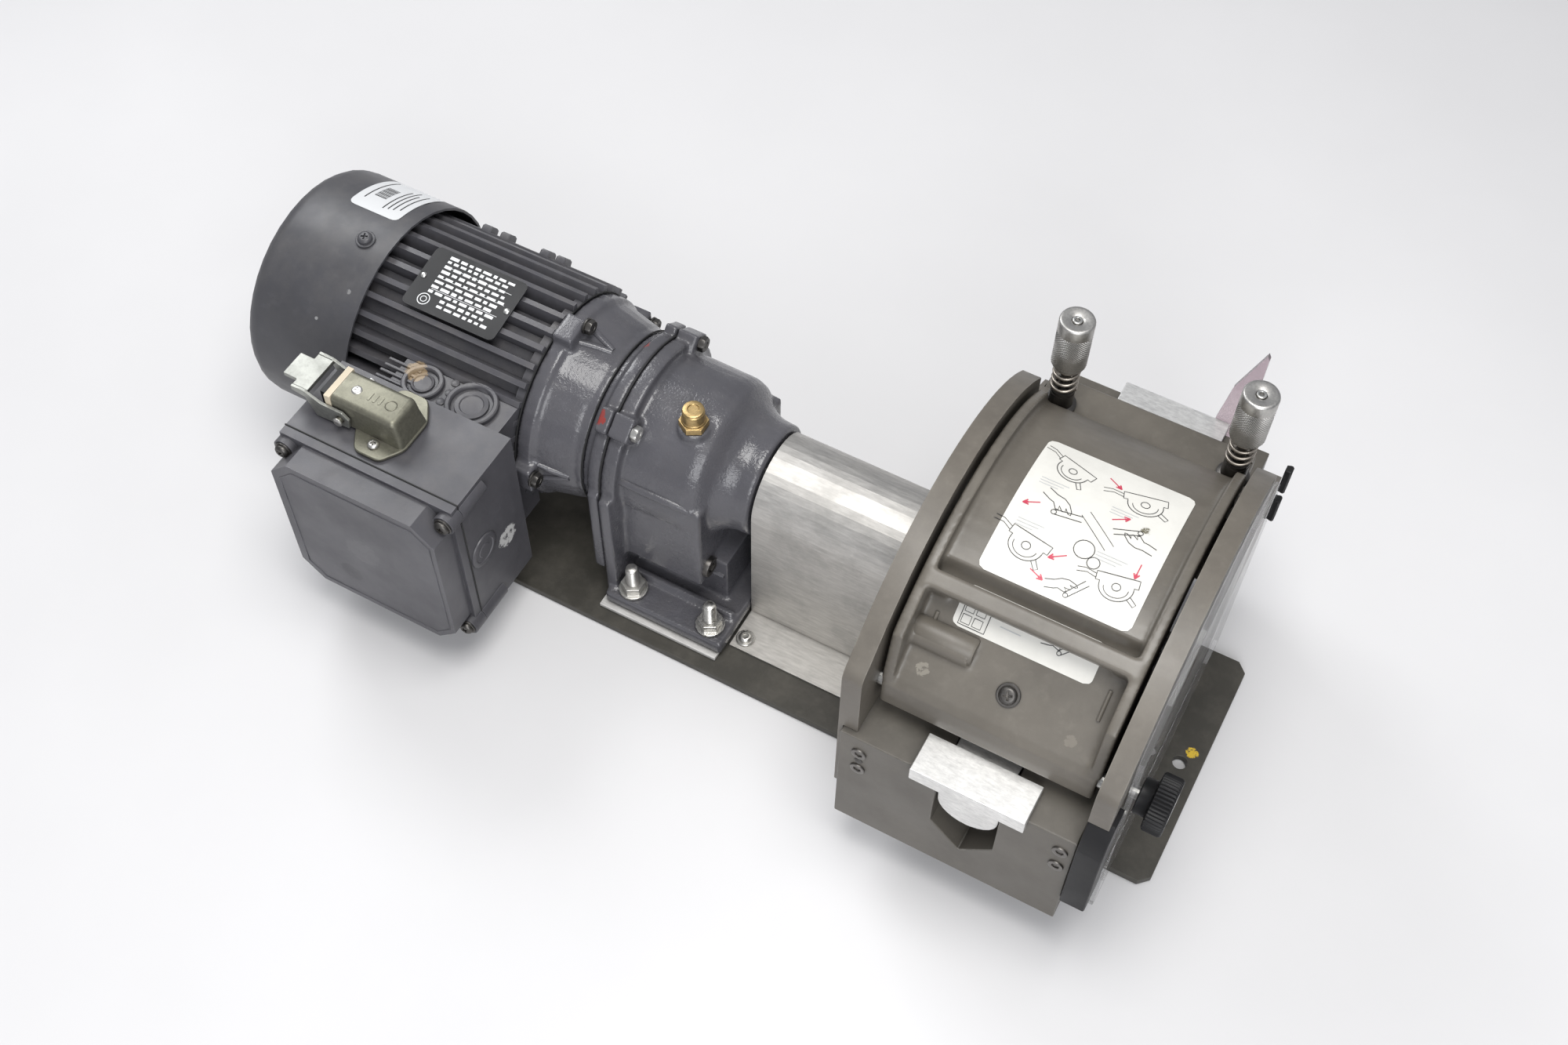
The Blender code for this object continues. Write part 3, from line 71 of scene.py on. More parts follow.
class Nodes:
    """A short way to write a material's node tree."""

    def __init__(self, name):
        self.material = bpy.data.materials.new(name)
        self.material.use_nodes = True
        self.tree = self.material.node_tree
        self.shader = self.tree.nodes["Principled BSDF"]
        self.place = self.add("ShaderNodeTexCoord").outputs["Object"]

    def feed(self, socket, value):
        """Gives a socket a number, a colour or a link. None leaves it alone."""
        if isinstance(value, (int, float)):
            socket.default_value = value
        elif isinstance(value, tuple):
            socket.default_value = (*value, 1.0)
        elif value is not None:
            self.tree.links.new(value, socket)

    def add(self, kind, sockets=None, **settings):
        node = self.tree.nodes.new(kind)
        for key, value in settings.items():
            setattr(node, key, value)
        for key, value in (sockets or {}).items():
            self.feed(node.inputs[key], value)
        return node

    def noise(self, scale, detail=4.0, stretch=(1, 1, 1), rough=0.55, distortion=0.0):
        mapping = self.add("ShaderNodeMapping", {"Vector": self.place})
        mapping.inputs["Scale"].default_value = stretch
        return self.add("ShaderNodeTexNoise", {
            "Vector": mapping.outputs["Vector"], "Scale": scale, "Detail": detail, "Roughness": rough,
            "Distortion": distortion}).outputs["Fac"]

    def ramp(self, value, low, high, a=0.0, b=1.0):
        return self.add("ShaderNodeMapRange", {
            "Value": value, "From Min": low, "From Max": high, "To Min": a, "To Max": b},
            clamp=True).outputs["Result"]

    def math(self, kind, a, b):
        return self.add("ShaderNodeMath", {0: a, 1: b}, operation=kind).outputs["Value"]

    def times(self, a, b):
        return self.math("MULTIPLY", a, b)

    def mix(self, factor, a, b):
        return self.add("ShaderNodeMix", {"Factor": factor, "A": a, "B": b}, data_type="RGBA").outputs["Result"]

    def edges(self, radius=1.1):
        """1 on sharp edges, 0 on flats."""
        bevel = self.add("ShaderNodeBevel", {"Radius": radius * MM}, samples=4)
        geometry = self.add("ShaderNodeNewGeometry")
        dot = self.add("ShaderNodeVectorMath", {0: bevel.outputs["Normal"], 1: geometry.outputs["True Normal"]},
                       operation="DOT_PRODUCT")
        return self.ramp(self.math("SUBTRACT", 1.0, dot.outputs["Value"]), 0.03, 0.2)

    def upward(self):
        """1 on faces that look up, 0 on the rest."""
        geometry = self.add("ShaderNodeNewGeometry")
        split = self.add("ShaderNodeSeparateXYZ", {"Vector": geometry.outputs["Normal"]})
        return self.ramp(split.outputs["Z"], 0.2, 0.9)

    def near(self, point, radius, soft):
        """1 close to a point in the part's frame, 0 away from it."""
        node = self.add("ShaderNodeVectorMath", {0: self.place}, operation="DISTANCE")
        node.inputs[1].default_value = Vector(point) * MM
        return self.ramp(node.outputs["Value"], radius * soft * MM, radius * MM, 1.0, 0.0)

    def ragged(self, point, radius, soft, grain):
        """The same, broken up by noise, so that a ramp over it has a torn edge."""
        return self.times(self.near(point, radius, soft), self.noise(grain, 8, rough=0.75, distortion=0.8))

    def crevice_shade(self, distance=5.0):
        """Painted shade: 1 in crevices that ambient occlusion finds, 0 in the open."""
        occlusion = self.add("ShaderNodeAmbientOcclusion", {"Distance": distance * MM}, samples=6)
        return self.ramp(occlusion.outputs["AO"], 0.35, 0.85, 1.0, 0.0)

    def bump(self, height, strength, distance, below=None):
        return self.add("ShaderNodeBump", {
            "Strength": strength, "Distance": distance * MM, "Height": height,
            "Normal": below}).outputs["Normal"]

    def done(self, colour, roughness, normal, metallic=None, **fixed):
        for socket, value in (("Base Color", colour), ("Roughness", roughness), ("Normal", normal),
                              ("Metallic", metallic)):
            self.feed(self.shader.inputs[socket], value)
        for socket, value in fixed.items():
            self.shader.inputs[socket.replace("_", " ")].default_value = value
        return self.material


def scaled(colour, factor, plus=0.0):
    """A colour made lighter or darker, held at white."""
    return tuple(min(1, c * factor + plus) for c in colour)


def painted(name, colour, rough=0.4, grain=900, grain_depth=0.25, lumps=0.0, wear=0.4, wear_colour=None,
            dust=0.1, crevice_shade=0.6, spots=()):
    """Paint with grain, worn edges, scuffs, dust on top, painted shade in the corners, and ragged spots: stains and
    chips, and on some parts painted highlights and shade.
    """
    n = Nodes(name)
    fine = n.noise(160, 6)
    shade = n.mix(n.ramp(n.noise(14, 5), 0.3, 0.7), scaled(colour, 0.84), scaled(colour, 1.18))
    shade = n.mix(n.ramp(fine, 0.55, 0.75, 0.0, 0.25), shade, scaled(colour, 1.5, 0.01))
    powder = n.times(n.upward(), n.ramp(n.noise(45, 7, rough=0.7), 0.42, 0.72, 0.0, dust))
    shade = n.mix(powder, shade, (0.34, 0.31, 0.26))
    # Painted shade: the paint is darkened where ambient occlusion finds crevices.
    shade = n.mix(n.times(n.crevice_shade(), crevice_shade), shade, scaled(colour, 0.35))
    for point, radius, tint, share in spots:
        spot = n.ramp(n.ragged(point, radius, 0.4, 230), 0.4, 0.44)
        shade = n.mix(n.times(spot, share), shade, tint)
    rubbed = n.times(n.edges(), n.ramp(n.noise(70, 6, rough=0.7), 0.44, 0.62))
    shade = n.mix(n.times(rubbed, wear), shade, wear_colour or scaled(colour, 2.4, 0.04))
    scuff = n.ramp(n.noise(60, 8, stretch=(1, 6, 3), rough=0.75), 0.66, 0.72, 0.0, 0.3)
    shade = n.mix(scuff, shade, scaled(colour, 1.7, 0.03))
    gloss = n.math("ADD", n.ramp(n.noise(35, 5), 0.3, 0.7, rough - 0.07, rough + 0.09),
                   n.ramp(fine, 0.4, 0.8, 0.0, 0.05))
    normal = n.bump(n.noise(grain, 3), grain_depth, 0.08)
    if lumps:
        normal = n.bump(n.noise(620, 2, rough=0.5, distortion=0.5), lumps, 0.3, normal)
        normal = n.bump(n.noise(110, 2), lumps * 0.22, 0.9, normal)
    return n.done(shade, gloss, normal)


def bare_metal(name, colour, rough=0.3, brush=(1, 1, 1), brush_scale=400, depth=0.2, smudge=0.4,
               dark=(0.12, 0.11, 0.10), mottled=0.0, metallic=1.0):
    """Metal with a brushed or cast grain, finger marks, scratches and brighter edges."""
    n = Nodes(name)
    grain = n.noise(brush_scale, 6, stretch=brush, rough=0.65)
    cloud = n.noise(28, 6, rough=0.65)
    shade = n.mix(n.ramp(grain, 0.3, 0.7), scaled(colour, 0.82), scaled(colour, 1.12))
    shade = n.mix(n.ramp(cloud, 0.5, 0.75, 0.0, smudge), shade, scaled(colour, 0.6))
    if mottled:
        blotch = n.ramp(n.noise(520, 5, rough=0.7), 0.52, 0.66, 0.0, mottled)
        shade = n.mix(blotch, shade, scaled(colour, 0.5))
    # Painted shade: the metal is darkened towards the dark colour where ambient occlusion finds crevices.
    shade = n.mix(n.times(n.crevice_shade(3.0), 0.7), shade, dark)
    shade = n.mix(n.times(n.edges(0.8), 0.3), shade, scaled(colour, 1.4))
    scratch = n.noise(90, 8, stretch=(9, 1, 2), rough=0.8)
    gloss = n.math("ADD", n.ramp(cloud, 0.3, 0.75, rough - 0.06, rough + 0.14),
                   n.ramp(grain, 0.3, 0.8, 0.0, 0.08))
    normal = n.bump(scratch, depth * 0.8, 0.04, n.bump(grain, depth, 0.05))
    return n.done(shade, gloss, normal, metallic)


def moulded(name, colour, rough=0.45, grain=1400, depth=0.15, dust=0.2, shine=0.5):
    """Plastic or rubber with a fine moulded grain and a little dust."""
    n = Nodes(name)
    shade = n.mix(n.ramp(n.noise(25, 5), 0.3, 0.7), scaled(colour, 0.85), scaled(colour, 1.2, 0.003))
    powder = n.times(n.upward(), n.ramp(n.noise(90, 7, rough=0.7), 0.45, 0.75, 0.0, dust))
    shade = n.mix(powder, shade, (0.3, 0.28, 0.25))
    shade = n.mix(n.times(n.edges(), 0.25), shade, scaled(colour, 1.6, 0.03))
    gloss = n.ramp(n.noise(50, 4), 0.3, 0.7, rough - 0.06, rough + 0.08)
    return n.done(shade, gloss, n.bump(n.noise(grain, 3), depth, 0.06), Specular_IOR_Level=shine)


def clear_plastic(name, tint, rough, alpha=1.0, haze=0.08):
    """A clear sheet with a faint haze and a slight waviness."""
    n = Nodes(name)
    shade = n.mix(n.ramp(n.noise(20, 4), 0.3, 0.7), tint, scaled(tint, 1.05))
    gloss = n.ramp(n.noise(60, 7, rough=0.75), 0.5, 0.75, rough, rough + haze)
    return n.done(shade, gloss, n.bump(n.noise(30, 2), 0.02, 0.05),
                  Transmission_Weight=0.92, IOR=1.49, Alpha=alpha)


def paper(name, colour, stain=0.35, blot=None):
    """Printed film, a little yellowed and scuffed, with one ragged blot when asked."""
    n = Nodes(name)
    yellowed = n.ramp(n.noise(40, 6, rough=0.7), 0.45, 0.75, 0.0, stain)
    shade = n.mix(yellowed, colour, scaled(colour, 0.72))
    shade = n.mix(n.ramp(n.noise(300, 6, rough=0.75), 0.66, 0.74, 0.0, 0.45), shade, (0.42, 0.38, 0.32))
    if blot:
        shade = n.mix(n.ramp(n.ragged(blot, 5.5, 0.3, 420), 0.38, 0.5), shade, (0.12, 0.11, 0.07))
    gloss = n.ramp(n.noise(60, 4), 0.3, 0.7, 0.3, 0.45)
    return n.done(shade, gloss, n.bump(n.noise(600, 3), 0.06, 0.05))


BLUE_GREY = (0.064, 0.063, 0.071)
RUST_RED = (0.22, 0.035, 0.03)
CHIPPED_RED = [((-186, -37.5, 148), 10, RUST_RED, 1.0), ((-188, 14, 158), 7, RUST_RED, 0.9)]

paint_motor = painted("paint_motor", BLUE_GREY, lumps=0.12, dust=0.12, crevice_shade=0.85,
                      spots=[((-296, -58, 143), 13, (0.34, 0.25, 0.15), 0.8)])
paint_cover = painted("paint_fan_cover", (0.052, 0.052, 0.058), 0.42, grain=1300, grain_depth=0.15,
                      dust=0.08, crevice_shade=0.3,
                      # The two small pale spots on the cover's round side are painted highlights.
                      spots=[((-352, -40, 163), 3, (0.3, 0.3, 0.3), 0.5),
                             ((-366, -56, 148), 2, (0.38, 0.38, 0.38), 0.6)])
paint_gear = painted("paint_gear_case", (0.074, 0.073, 0.082), 0.2, lumps=0.75, dust=0.05, crevice_shade=0.75,
                     spots=CHIPPED_RED)
paint_shield = painted("paint_shield", (0.072, 0.071, 0.08), 0.2, lumps=0.5, dust=0.05, crevice_shade=0.7,
                       spots=CHIPPED_RED)
paint_box = painted("paint_terminal_box", BLUE_GREY, lumps=0.06, wear=0.5, dust=0.07, crevice_shade=0.5,
                    # On the cover's face, the lighter patch in the middle is a painted sheen and the darker patch low
                    # on its left is painted shade; the pale patch on the box's right end is chipped paint.
                    spots=[((-278, -149, 92), 22, (0.10, 0.10, 0.105), 0.5),
                           ((-292, -149, 62), 14, (0.04, 0.04, 0.045), 0.7),
                           ((-220, -93, 78), 15, (0.5, 0.5, 0.49), 0.9)])
paint_pump = painted("paint_pump", (0.112, 0.1, 0.084), grain=1000, wear=0.5, dust=0.12,
                     wear_colour=(0.34, 0.32, 0.28))
paint_track = painted("paint_track", (0.11, 0.099, 0.083), 0.38, grain=1000, lumps=0.05, wear=0.45,
                      wear_colour=(0.32, 0.3, 0.26),
                      spots=[((44, -106, 167), 7, (0.27, 0.25, 0.21), 0.6),
                             ((124, -107, 166), 6, (0.2, 0.18, 0.15), 0.5)])
paint_block = painted("paint_port_block", (0.088, 0.08, 0.068), 0.42, grain=1100, wear=0.9,
                      wear_colour=(0.42, 0.41, 0.38))
paint_base = painted("paint_base", (0.038, 0.035, 0.028), 0.5, grain=1500, grain_depth=0.35, crevice_shade=0.7,
                     spots=[((175, 9, 5), 7, (0.62, 0.42, 0.03), 1.0)])
sheet_steel = bare_metal("brushed_sheet", (0.55, 0.535, 0.51), 0.44, (0.15, 1, 1), 700, 0.06, 0.7)
cast_aluminium = bare_metal("cast_aluminium", (0.76, 0.755, 0.74), 0.36, (0.3, 1, 1), 700, 0.15, 0.35,
                            mottled=0.14, metallic=0.85)
sawn_aluminium = bare_metal("sawn_aluminium", (0.62, 0.61, 0.59), 0.45, (0.2, 1, 1), 700, metallic=0.35)
zinc = bare_metal("zinc_cast", (0.215, 0.21, 0.165), 0.38, brush_scale=500, smudge=0.6, mottled=0.3,
                  metallic=0.8)
lever_steel = bare_metal("lever_steel", (0.33, 0.335, 0.31), 0.38, brush_scale=500, smudge=0.6, mottled=0.3,
                         metallic=0.85)
turned_steel = bare_metal("turned_steel", (0.60, 0.60, 0.58), 0.26, brush_scale=900, depth=0.15)
spring_steel = bare_metal("spring_steel", (0.40, 0.365, 0.32), 0.36, depth=0.05, smudge=0.3)
knurl_steel = bare_metal("knurled_steel", (0.50, 0.49, 0.47), 0.32, brush_scale=900, depth=0.1)
bolt_steel = bare_metal("bolt_steel", (0.64, 0.63, 0.60), 0.27, brush_scale=900, depth=0.15, smudge=0.5)
dark_steel = bare_metal("dark_steel", (0.11, 0.105, 0.10), 0.38, depth=0.15)
block_steel = bare_metal("block_steel", (0.2, 0.19, 0.18), 0.36, depth=0.15)
rotor_iron = bare_metal("rotor_iron", (0.33, 0.33, 0.34), 0.4, depth=0.3, mottled=0.3)
winding = bare_metal("laminations", (0.30, 0.20, 0.13), 0.5, (14, 1, 1), 500, 0.5)
brass = bare_metal("brass", (0.50, 0.36, 0.17), 0.34, depth=0.3, smudge=0.8, mottled=0.3,
                   dark=(0.08, 0.05, 0.02))
black_plastic = moulded("black_plastic", (0.007, 0.007, 0.008), 0.45, dust=0.02, shine=0.25)
brown_board = moulded("board_plastic", (0.11, 0.08, 0.05), 0.5)
pale_roller = moulded("pale_roller", (0.66, 0.65, 0.6), 0.4)
beige_seal = moulded("beige_seal", (0.56, 0.49, 0.37), 0.6, dust=0.3)
red_rubber = moulded("red_rubber", (0.5, 0.08, 0.04), 0.55)
plate_black = moulded("plate_black", (0.006, 0.006, 0.007), 0.5, grain=600, depth=0.05, dust=0.0)
clear_sheet = clear_plastic("clear_sheet", (0.93, 0.94, 0.95), 0.0, alpha=0.35, haze=0.02)
lilac_sheet = clear_plastic("lilac_sheet", (0.60, 0.50, 0.54), 0.16)
label_film = paper("label_film", (0.66, 0.65, 0.61), blot=(114, -8, 211))
sticker_film = paper("sticker_film", (0.62, 0.63, 0.64), 0.15)
ink_grey = paper("ink_grey", (0.02, 0.02, 0.022), 0.1)
ink_pale = paper("ink_pale", (0.46, 0.47, 0.48), 0.2)
plate_white = paper("plate_white", (0.72, 0.73, 0.74), 0.1)
ink_pink = paper("ink_pink", (0.5, 0.05, 0.09), 0.2)
shadow_black = moulded("shadow_black", (0.008, 0.008, 0.008), 0.7, dust=0.0)

LOOKS = {
    paint_base: "base_plate",
    paint_motor: "motor_housing fan_end_shield",
    paint_cover: "fan_cover",
    paint_shield: "drive_end_shield gear_case_cover",
    paint_gear: "gear_case",
    paint_box: "terminal_box terminal_box_cover",
    paint_pump: "pump_back_plate pump_front_plate",
    paint_track: "track",
    paint_block: "front_port_block rear_port_block",
    sheet_steel: "coupling_guard",
    cast_aluminium: "front_clamp rear_clamp coupling_hub_gear coupling_hub_pump",
    sawn_aluminium: "foot_shim_front foot_shim_rear",
    zinc: "connector_housing",
    lever_steel: "connector_lever",
    turned_steel: "track_pin motor_shaft output_shaft second_shaft first_wheel output_wheel output_bearing "
                  "guard_stud",
    bolt_steel: "foot_bolt_1 foot_bolt_2 foot_bolt_3 foot_bolt_4",
    dark_steel: "latch_sleeve_left latch_sleeve_right latch_stem_left latch_stem_right",
    rotor_iron: "rotor_hub",
    winding: "stator",
    brass: "vent_plug",
    black_plastic: "guard_catch connector_insert cooling_fan guard_thumbscrew",
    brown_board: "terminal_block",
    pale_roller: "roller_1 roller_2 roller_3 roller_4",
    beige_seal: "connector_seal",
    red_rubber: "coupling_spider",
    plate_black: "nameplate",
    clear_sheet: "clear_guard",
    lilac_sheet: "rear_port_guard",
}

# For the castings: the voxel's size and the passes of smoothing.
CASTINGS = {"gear_case": (1.2, 8), "drive_end_shield": (1.3, 5), "gear_case_cover": (1.3, 5), "track": (1.2, 4)}
# For the others: the width of the rounding on their edges.
ROUNDING = {
    0.3: "foot_shim_front foot_shim_rear connector_insert connector_seal fan_cover cooling_fan",
    0.4: "connector_lever base_plate foot_bolt_1 foot_bolt_2 foot_bolt_3 foot_bolt_4 vent_plug",
    0.5: "rotor_hub",
    0.6: "motor_housing",
    0.8: "front_port_block rear_port_block",
    0.9: "front_clamp rear_clamp",
    1.0: "guard_catch",
    1.5: "pump_back_plate pump_front_plate",
    1.6: "terminal_box terminal_box_cover",
}


def modify(name, kind, **settings):
    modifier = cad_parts[name].modifiers.new(kind.lower(), kind)
    for key, value in settings.items():
        setattr(modifier, key, value)


def dress_cad_nodes():
    """Gives each CAD node its material, softens the castings and rounds the other nodes' edges."""
    for material, names in LOOKS.items():
        for name in names.split():
            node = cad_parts[name]
            node.data.materials.clear()
            node.data.materials.append(material)
    for name, (voxel, passes) in CASTINGS.items():
        modify(name, "WELD", merge_threshold=SAME_POINT)
        modify(name, "REMESH", mode="VOXEL", voxel_size=voxel * MM, use_smooth_shade=True)
        modify(name, "SMOOTH", factor=0.5, iterations=passes)
    for width, names in ROUNDING.items():
        for name in names.split():
            modify(name, "WELD", merge_threshold=SAME_POINT)
            modify(name, "BEVEL", width=width * MM, segments=3, limit_method="ANGLE",
                   angle_limit=math.radians(34), use_clamp_overlap=True, miter_outer="MITER_ARC")
            modify(name, "WEIGHTED_NORMAL", keep_sharp=False, weight=60)

# --- mesh helpers -------------------------------------------------------------------------------

def add_object(name, data):
    made = bpy.data.objects.new(name, data)
    bpy.context.scene.collection.objects.link(made)
    return made


def circle(count):
    """The cosine and sine of evenly spaced angles."""
    return [(math.cos(2 * math.pi * s / count), math.sin(2 * math.pi * s / count)) for s in range(count)]


def new_object(name, bm, material, body, smooth_angle=35):
    """Makes the piece in metres from a bmesh drawn in millimetres, and lets it ride."""
    bmesh.ops.scale(bm, vec=(MM, MM, MM), verts=bm.verts)
    bmesh.ops.recalc_face_normals(bm, faces=bm.faces)
    mesh = bpy.data.meshes.new(name)
    bm.to_mesh(mesh)
    bm.free()
    piece = add_object(name, mesh)
    mesh.materials.append(material)
    mesh.shade_smooth()
    mesh.set_sharp_from_angle(angle=math.radians(smooth_angle))
    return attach(piece, body)


def aim(point, direction, turn=0.0):
    """A matrix that takes local +Z to a direction at a point, in millimetres."""
    facing = Vector(direction).to_track_quat("Z", "Y").to_matrix().to_4x4()
    return Matrix.Translation(Vector(point)) @ facing @ Matrix.Rotation(math.radians(turn), 4, "Z")


def bridge(bm, rings, closed=False):
    """Faces between neighbouring rings, then a cap on each end or faces from the last ring to the first."""
    for lower, upper in zip(rings, rings[1:] + (rings[:1] if closed else [])):
        for index in range(len(lower)):
            after = (index + 1) % len(lower)
            bm.faces.new((lower[index], lower[after], upper[after], upper[index]))
    if not closed:
        bm.faces.new(rings[0][::-1])
        bm.faces.new(rings[-1])


def loft(bm, stations, sides, matrix):
    """Rings from bottom to top. A station is (height, radius), and radius may be a function of the angle."""
    rings = []
    for height, radius in stations:
        ring = []
        for index in range(sides):
            angle = 2 * math.pi * index / sides
            reach = radius(angle) if callable(radius) else radius
            point = (reach * math.cos(angle), reach * math.sin(angle), height)
            ring.append(bm.verts.new(matrix @ Vector(point)))
        rings.append(ring)
    bridge(bm, rings)


def turned(name, stations, sides, matrix, material, body):
    """A piece that is one loft."""
    bm = bmesh.new()
    loft(bm, stations, sides, matrix)
    return new_object(name, bm, material, body)


def hexagon(flat):
    """The radius of a hexagon at an angle, from its half width across flats."""
    def reach(angle):
        return flat / math.cos((angle + math.pi / 6) % (math.pi / 3) - math.pi / 6)
    return reach


def cross(long, half):
    """The radius of a cross recess at an angle."""
    def reach(angle):
        turn = abs((angle + math.pi / 4) % (math.pi / 2) - math.pi / 4)
        return min(long / max(math.cos(turn), 0.01), half / max(math.sin(turn), 0.08))
    return reach


def pan_screw(name, point, direction, radius, body, material, height=None, recess="cross", turn=20.0,
              washer=0.0):
    """A rounded screw head with a cross or hexagon recess, and a washer under it when asked."""
    height = height or radius * 0.62
    bm = bmesh.new()
    matrix = aim(point, direction, turn)
    inner = cross(radius * 0.5, radius * 0.13) if recess == "cross" else hexagon(radius * 0.46)
    if washer:
        loft(bm, [(0.0, washer - 0.3), (0.3, washer), (1.0, washer), (1.3, washer - 0.4), (1.3, radius * 0.8)],
             48, matrix)
    base = 1.2 if washer else 0.0
    rise = base + height
    loft(bm, [(base, radius * 0.97), (base + height * 0.35, radius), (base + height * 0.72, radius * 0.9),
              (base + height * 0.93, radius * 0.72), (rise, radius * 0.6), (rise - 0.05, inner),
              (rise - height * 0.55, inner), (rise - height * 0.6, radius * 0.1)], 48, matrix)
    return new_object(name, bm, material, body)


def cap_screw(name, point, direction, radius, height, body, material, turn=0.0):
    """A cylinder-head screw with a hexagon socket."""
    socket = hexagon(radius * 0.48)
    stations = [(0, radius - 0.2), (0.2, radius), (height - 0.5, radius), (height - 0.15, radius - 0.15),
                (height, radius - 0.5), (height, radius * 0.62), (height - 0.3, socket),
                (height * 0.35, socket), (height * 0.3, radius * 0.1)]
    return turned(name, stations, 48, aim(point, direction, turn), material, body)


def hex_bolt(name, point, flat, height, body, material, washer=0.0):
    """A hexagon head that faces along X, with a chamfered crown, on a washer when asked."""
    bm = bmesh.new()
    matrix = aim(point, (1, 0, 0), 10.0)
    face = hexagon(flat)
    start = 0.0
    if washer:
        loft(bm, [(0, washer - 0.3), (0.3, washer), (1.1, washer), (1.4, washer - 0.4)], 48, matrix)
        start = 1.2
    loft(bm, [(start, flat * 0.95), (start + 0.4, flat * 0.95), (start + 0.5, face),
              (start + height * 0.8, face), (start + height, flat), (start + height, flat * 0.5),
              (start + height - 0.3, flat * 0.45)], 48, matrix)
    return new_object(name, bm, material, body)


def rounded_slab(bm, low, high, corner, matrix, edge):
    """A thin plate in local XY with round corners and small edge radii, from z 0 up to twice the edge."""
    (x0, y0), (x1, y1) = low, high
    top, steps = edge * 2, 6
    rings = []
    for level, inset in ((0.0, edge * 0.3), (edge, 0.0), (top - edge * 0.4, 0.0), (top, edge * 0.5)):
        reach = max(corner - inset, 0.01)
        ring = []
        for cx, cy, start in ((x1 - corner, y1 - corner, 0), (x0 + corner, y1 - corner, 90),
                              (x0 + corner, y0 + corner, 180), (x1 - corner, y0 + corner, 270)):
            for index in range(steps + 1):
                angle = math.radians(start + 90 * index / steps)
                point = (cx + reach * math.cos(angle), cy + reach * math.sin(angle), level)
                ring.append(bm.verts.new(matrix @ Vector(point)))
        rings.append(ring)
    bridge(bm, rings)


def tube(bm, points, radius, sides, closed=False):
    """A round bar along points."""
    rings = []
    count = len(points)
    for index, point in enumerate(points):
        before = Vector(points[(index - 1) % count] if closed or index else points[index])
        after = Vector(points[(index + 1) % count] if closed or index + 1 < count else points[index])
        along = (after - before).normalized()
        side = along.cross(Vector((0, 0, 1)))
        if side.length < 0.05:
            side = along.cross(Vector((0, 1, 0)))
        side.normalize()
        lift = side.cross(along).normalized()
        rings.append([bm.verts.new(Vector(point) + side * radius * c + lift * radius * s) for c, s in circle(sides)])
    bridge(bm, rings, closed)


# --- surfaces that prints lie on ------------------------------------------------------------------

def on_arc(u, v, lift):
    """The track's top: u along X, v along the arc from the rear."""
    angle = math.radians(69.0) + v / TRACK_RADIUS
    reach = TRACK_RADIUS + lift
    return Vector((u, ARC_Y + reach * math.cos(angle), ARC_Z + reach * math.sin(angle)))


PANEL_TOP, PANEL_LOW = Vector((0, -66, 199)), Vector((0, -113, 161))
PANEL_DOWN = (PANEL_LOW - PANEL_TOP).normalized()
PANEL_OUT = Vector((1, 0, 0)).cross(PANEL_DOWN).normalized()
if PANEL_OUT.z < 0:
    PANEL_OUT = -PANEL_OUT


def on_panel(u, v, lift):
    """The track's sloping front panel: u along X, v down the slope."""
    point = PANEL_TOP + PANEL_DOWN * v + PANEL_OUT * lift
    return Vector((u, point.y, point.z))


def on_nameplate(u, v, lift):
    """The plate on the motor's ribs: u along X, v across it."""
    turn = Matrix.Rotation(math.radians(10.5), 4, "X")
    return turn @ Vector((u, v, 66.5 + 1.1 + lift)) + Vector((0, 0, AXIS_Z))


def on_cover(u, v, lift):
    """The fan cover's round side: u along X, v round it from the top towards the rear."""
    angle = math.pi / 2 - v / COVER_RADIUS
    reach = COVER_RADIUS + lift
    return Vector((u, reach * math.cos(angle), AXIS_Z + reach * math.sin(angle)))


def print_sheet(name, surface, low, high, corner, lift, material, body, cells=(20, 26), thick=0.22):
    """A film with round corners that follows a surface, with a real edge."""
    (u0, v0), (u1, v1) = low, high
    bm = bmesh.new()

    def inside(u, v):
        du = max(u0 + corner - u, u - (u1 - corner), 0.0)
        dv = max(v0 + corner - v, v - (v1 - corner), 0.0)
        if du > 0 and dv > 0:
            reach = math.hypot(du, dv)
            if reach > corner:
                share = corner / reach
                u = (u0 + corner - du * share) if u < u0 + corner else (u1 - corner + du * share)
                v = (v0 + corner - dv * share) if v < v0 + corner else (v1 - corner + dv * share)
        return u, v

    grids = []
    for level in (lift, lift + thick):
        grid = []
        for row in range(cells[1] + 1):
            line = []
            for column in range(cells[0] + 1):
                u, v = inside(u0 + (u1 - u0) * column / cells[0], v0 + (v1 - v0) * row / cells[1])
                line.append(bm.verts.new(surface(u, v, level)))
            grid.append(line)
        grids.append(grid)
    for level, grid in enumerate(grids):
        for row in range(cells[1]):
            for column in range(cells[0]):
                face = (*grid[row][column:column + 2], *grid[row + 1][column:column + 2][::-1])
                bm.faces.new(face if level else face[::-1])
    last_row, last_column = cells[1], cells[0]
    border = [(0, c) for c in range(last_column)] + [(r, last_column) for r in range(last_row)]
    border += [(last_row, c) for c in range(last_column, 0, -1)] + [(r, 0) for r in range(last_row, 0, -1)]
    for (r0, c0), (r1, c1) in zip(border, border[1:] + border[:1]):
        bm.faces.new((grids[0][r0][c0], grids[0][r1][c1], grids[1][r1][c1], grids[1][r0][c0]))
    bmesh.ops.remove_doubles(bm, verts=bm.verts, dist=0.0005)
    return new_object(name, bm, material, body)


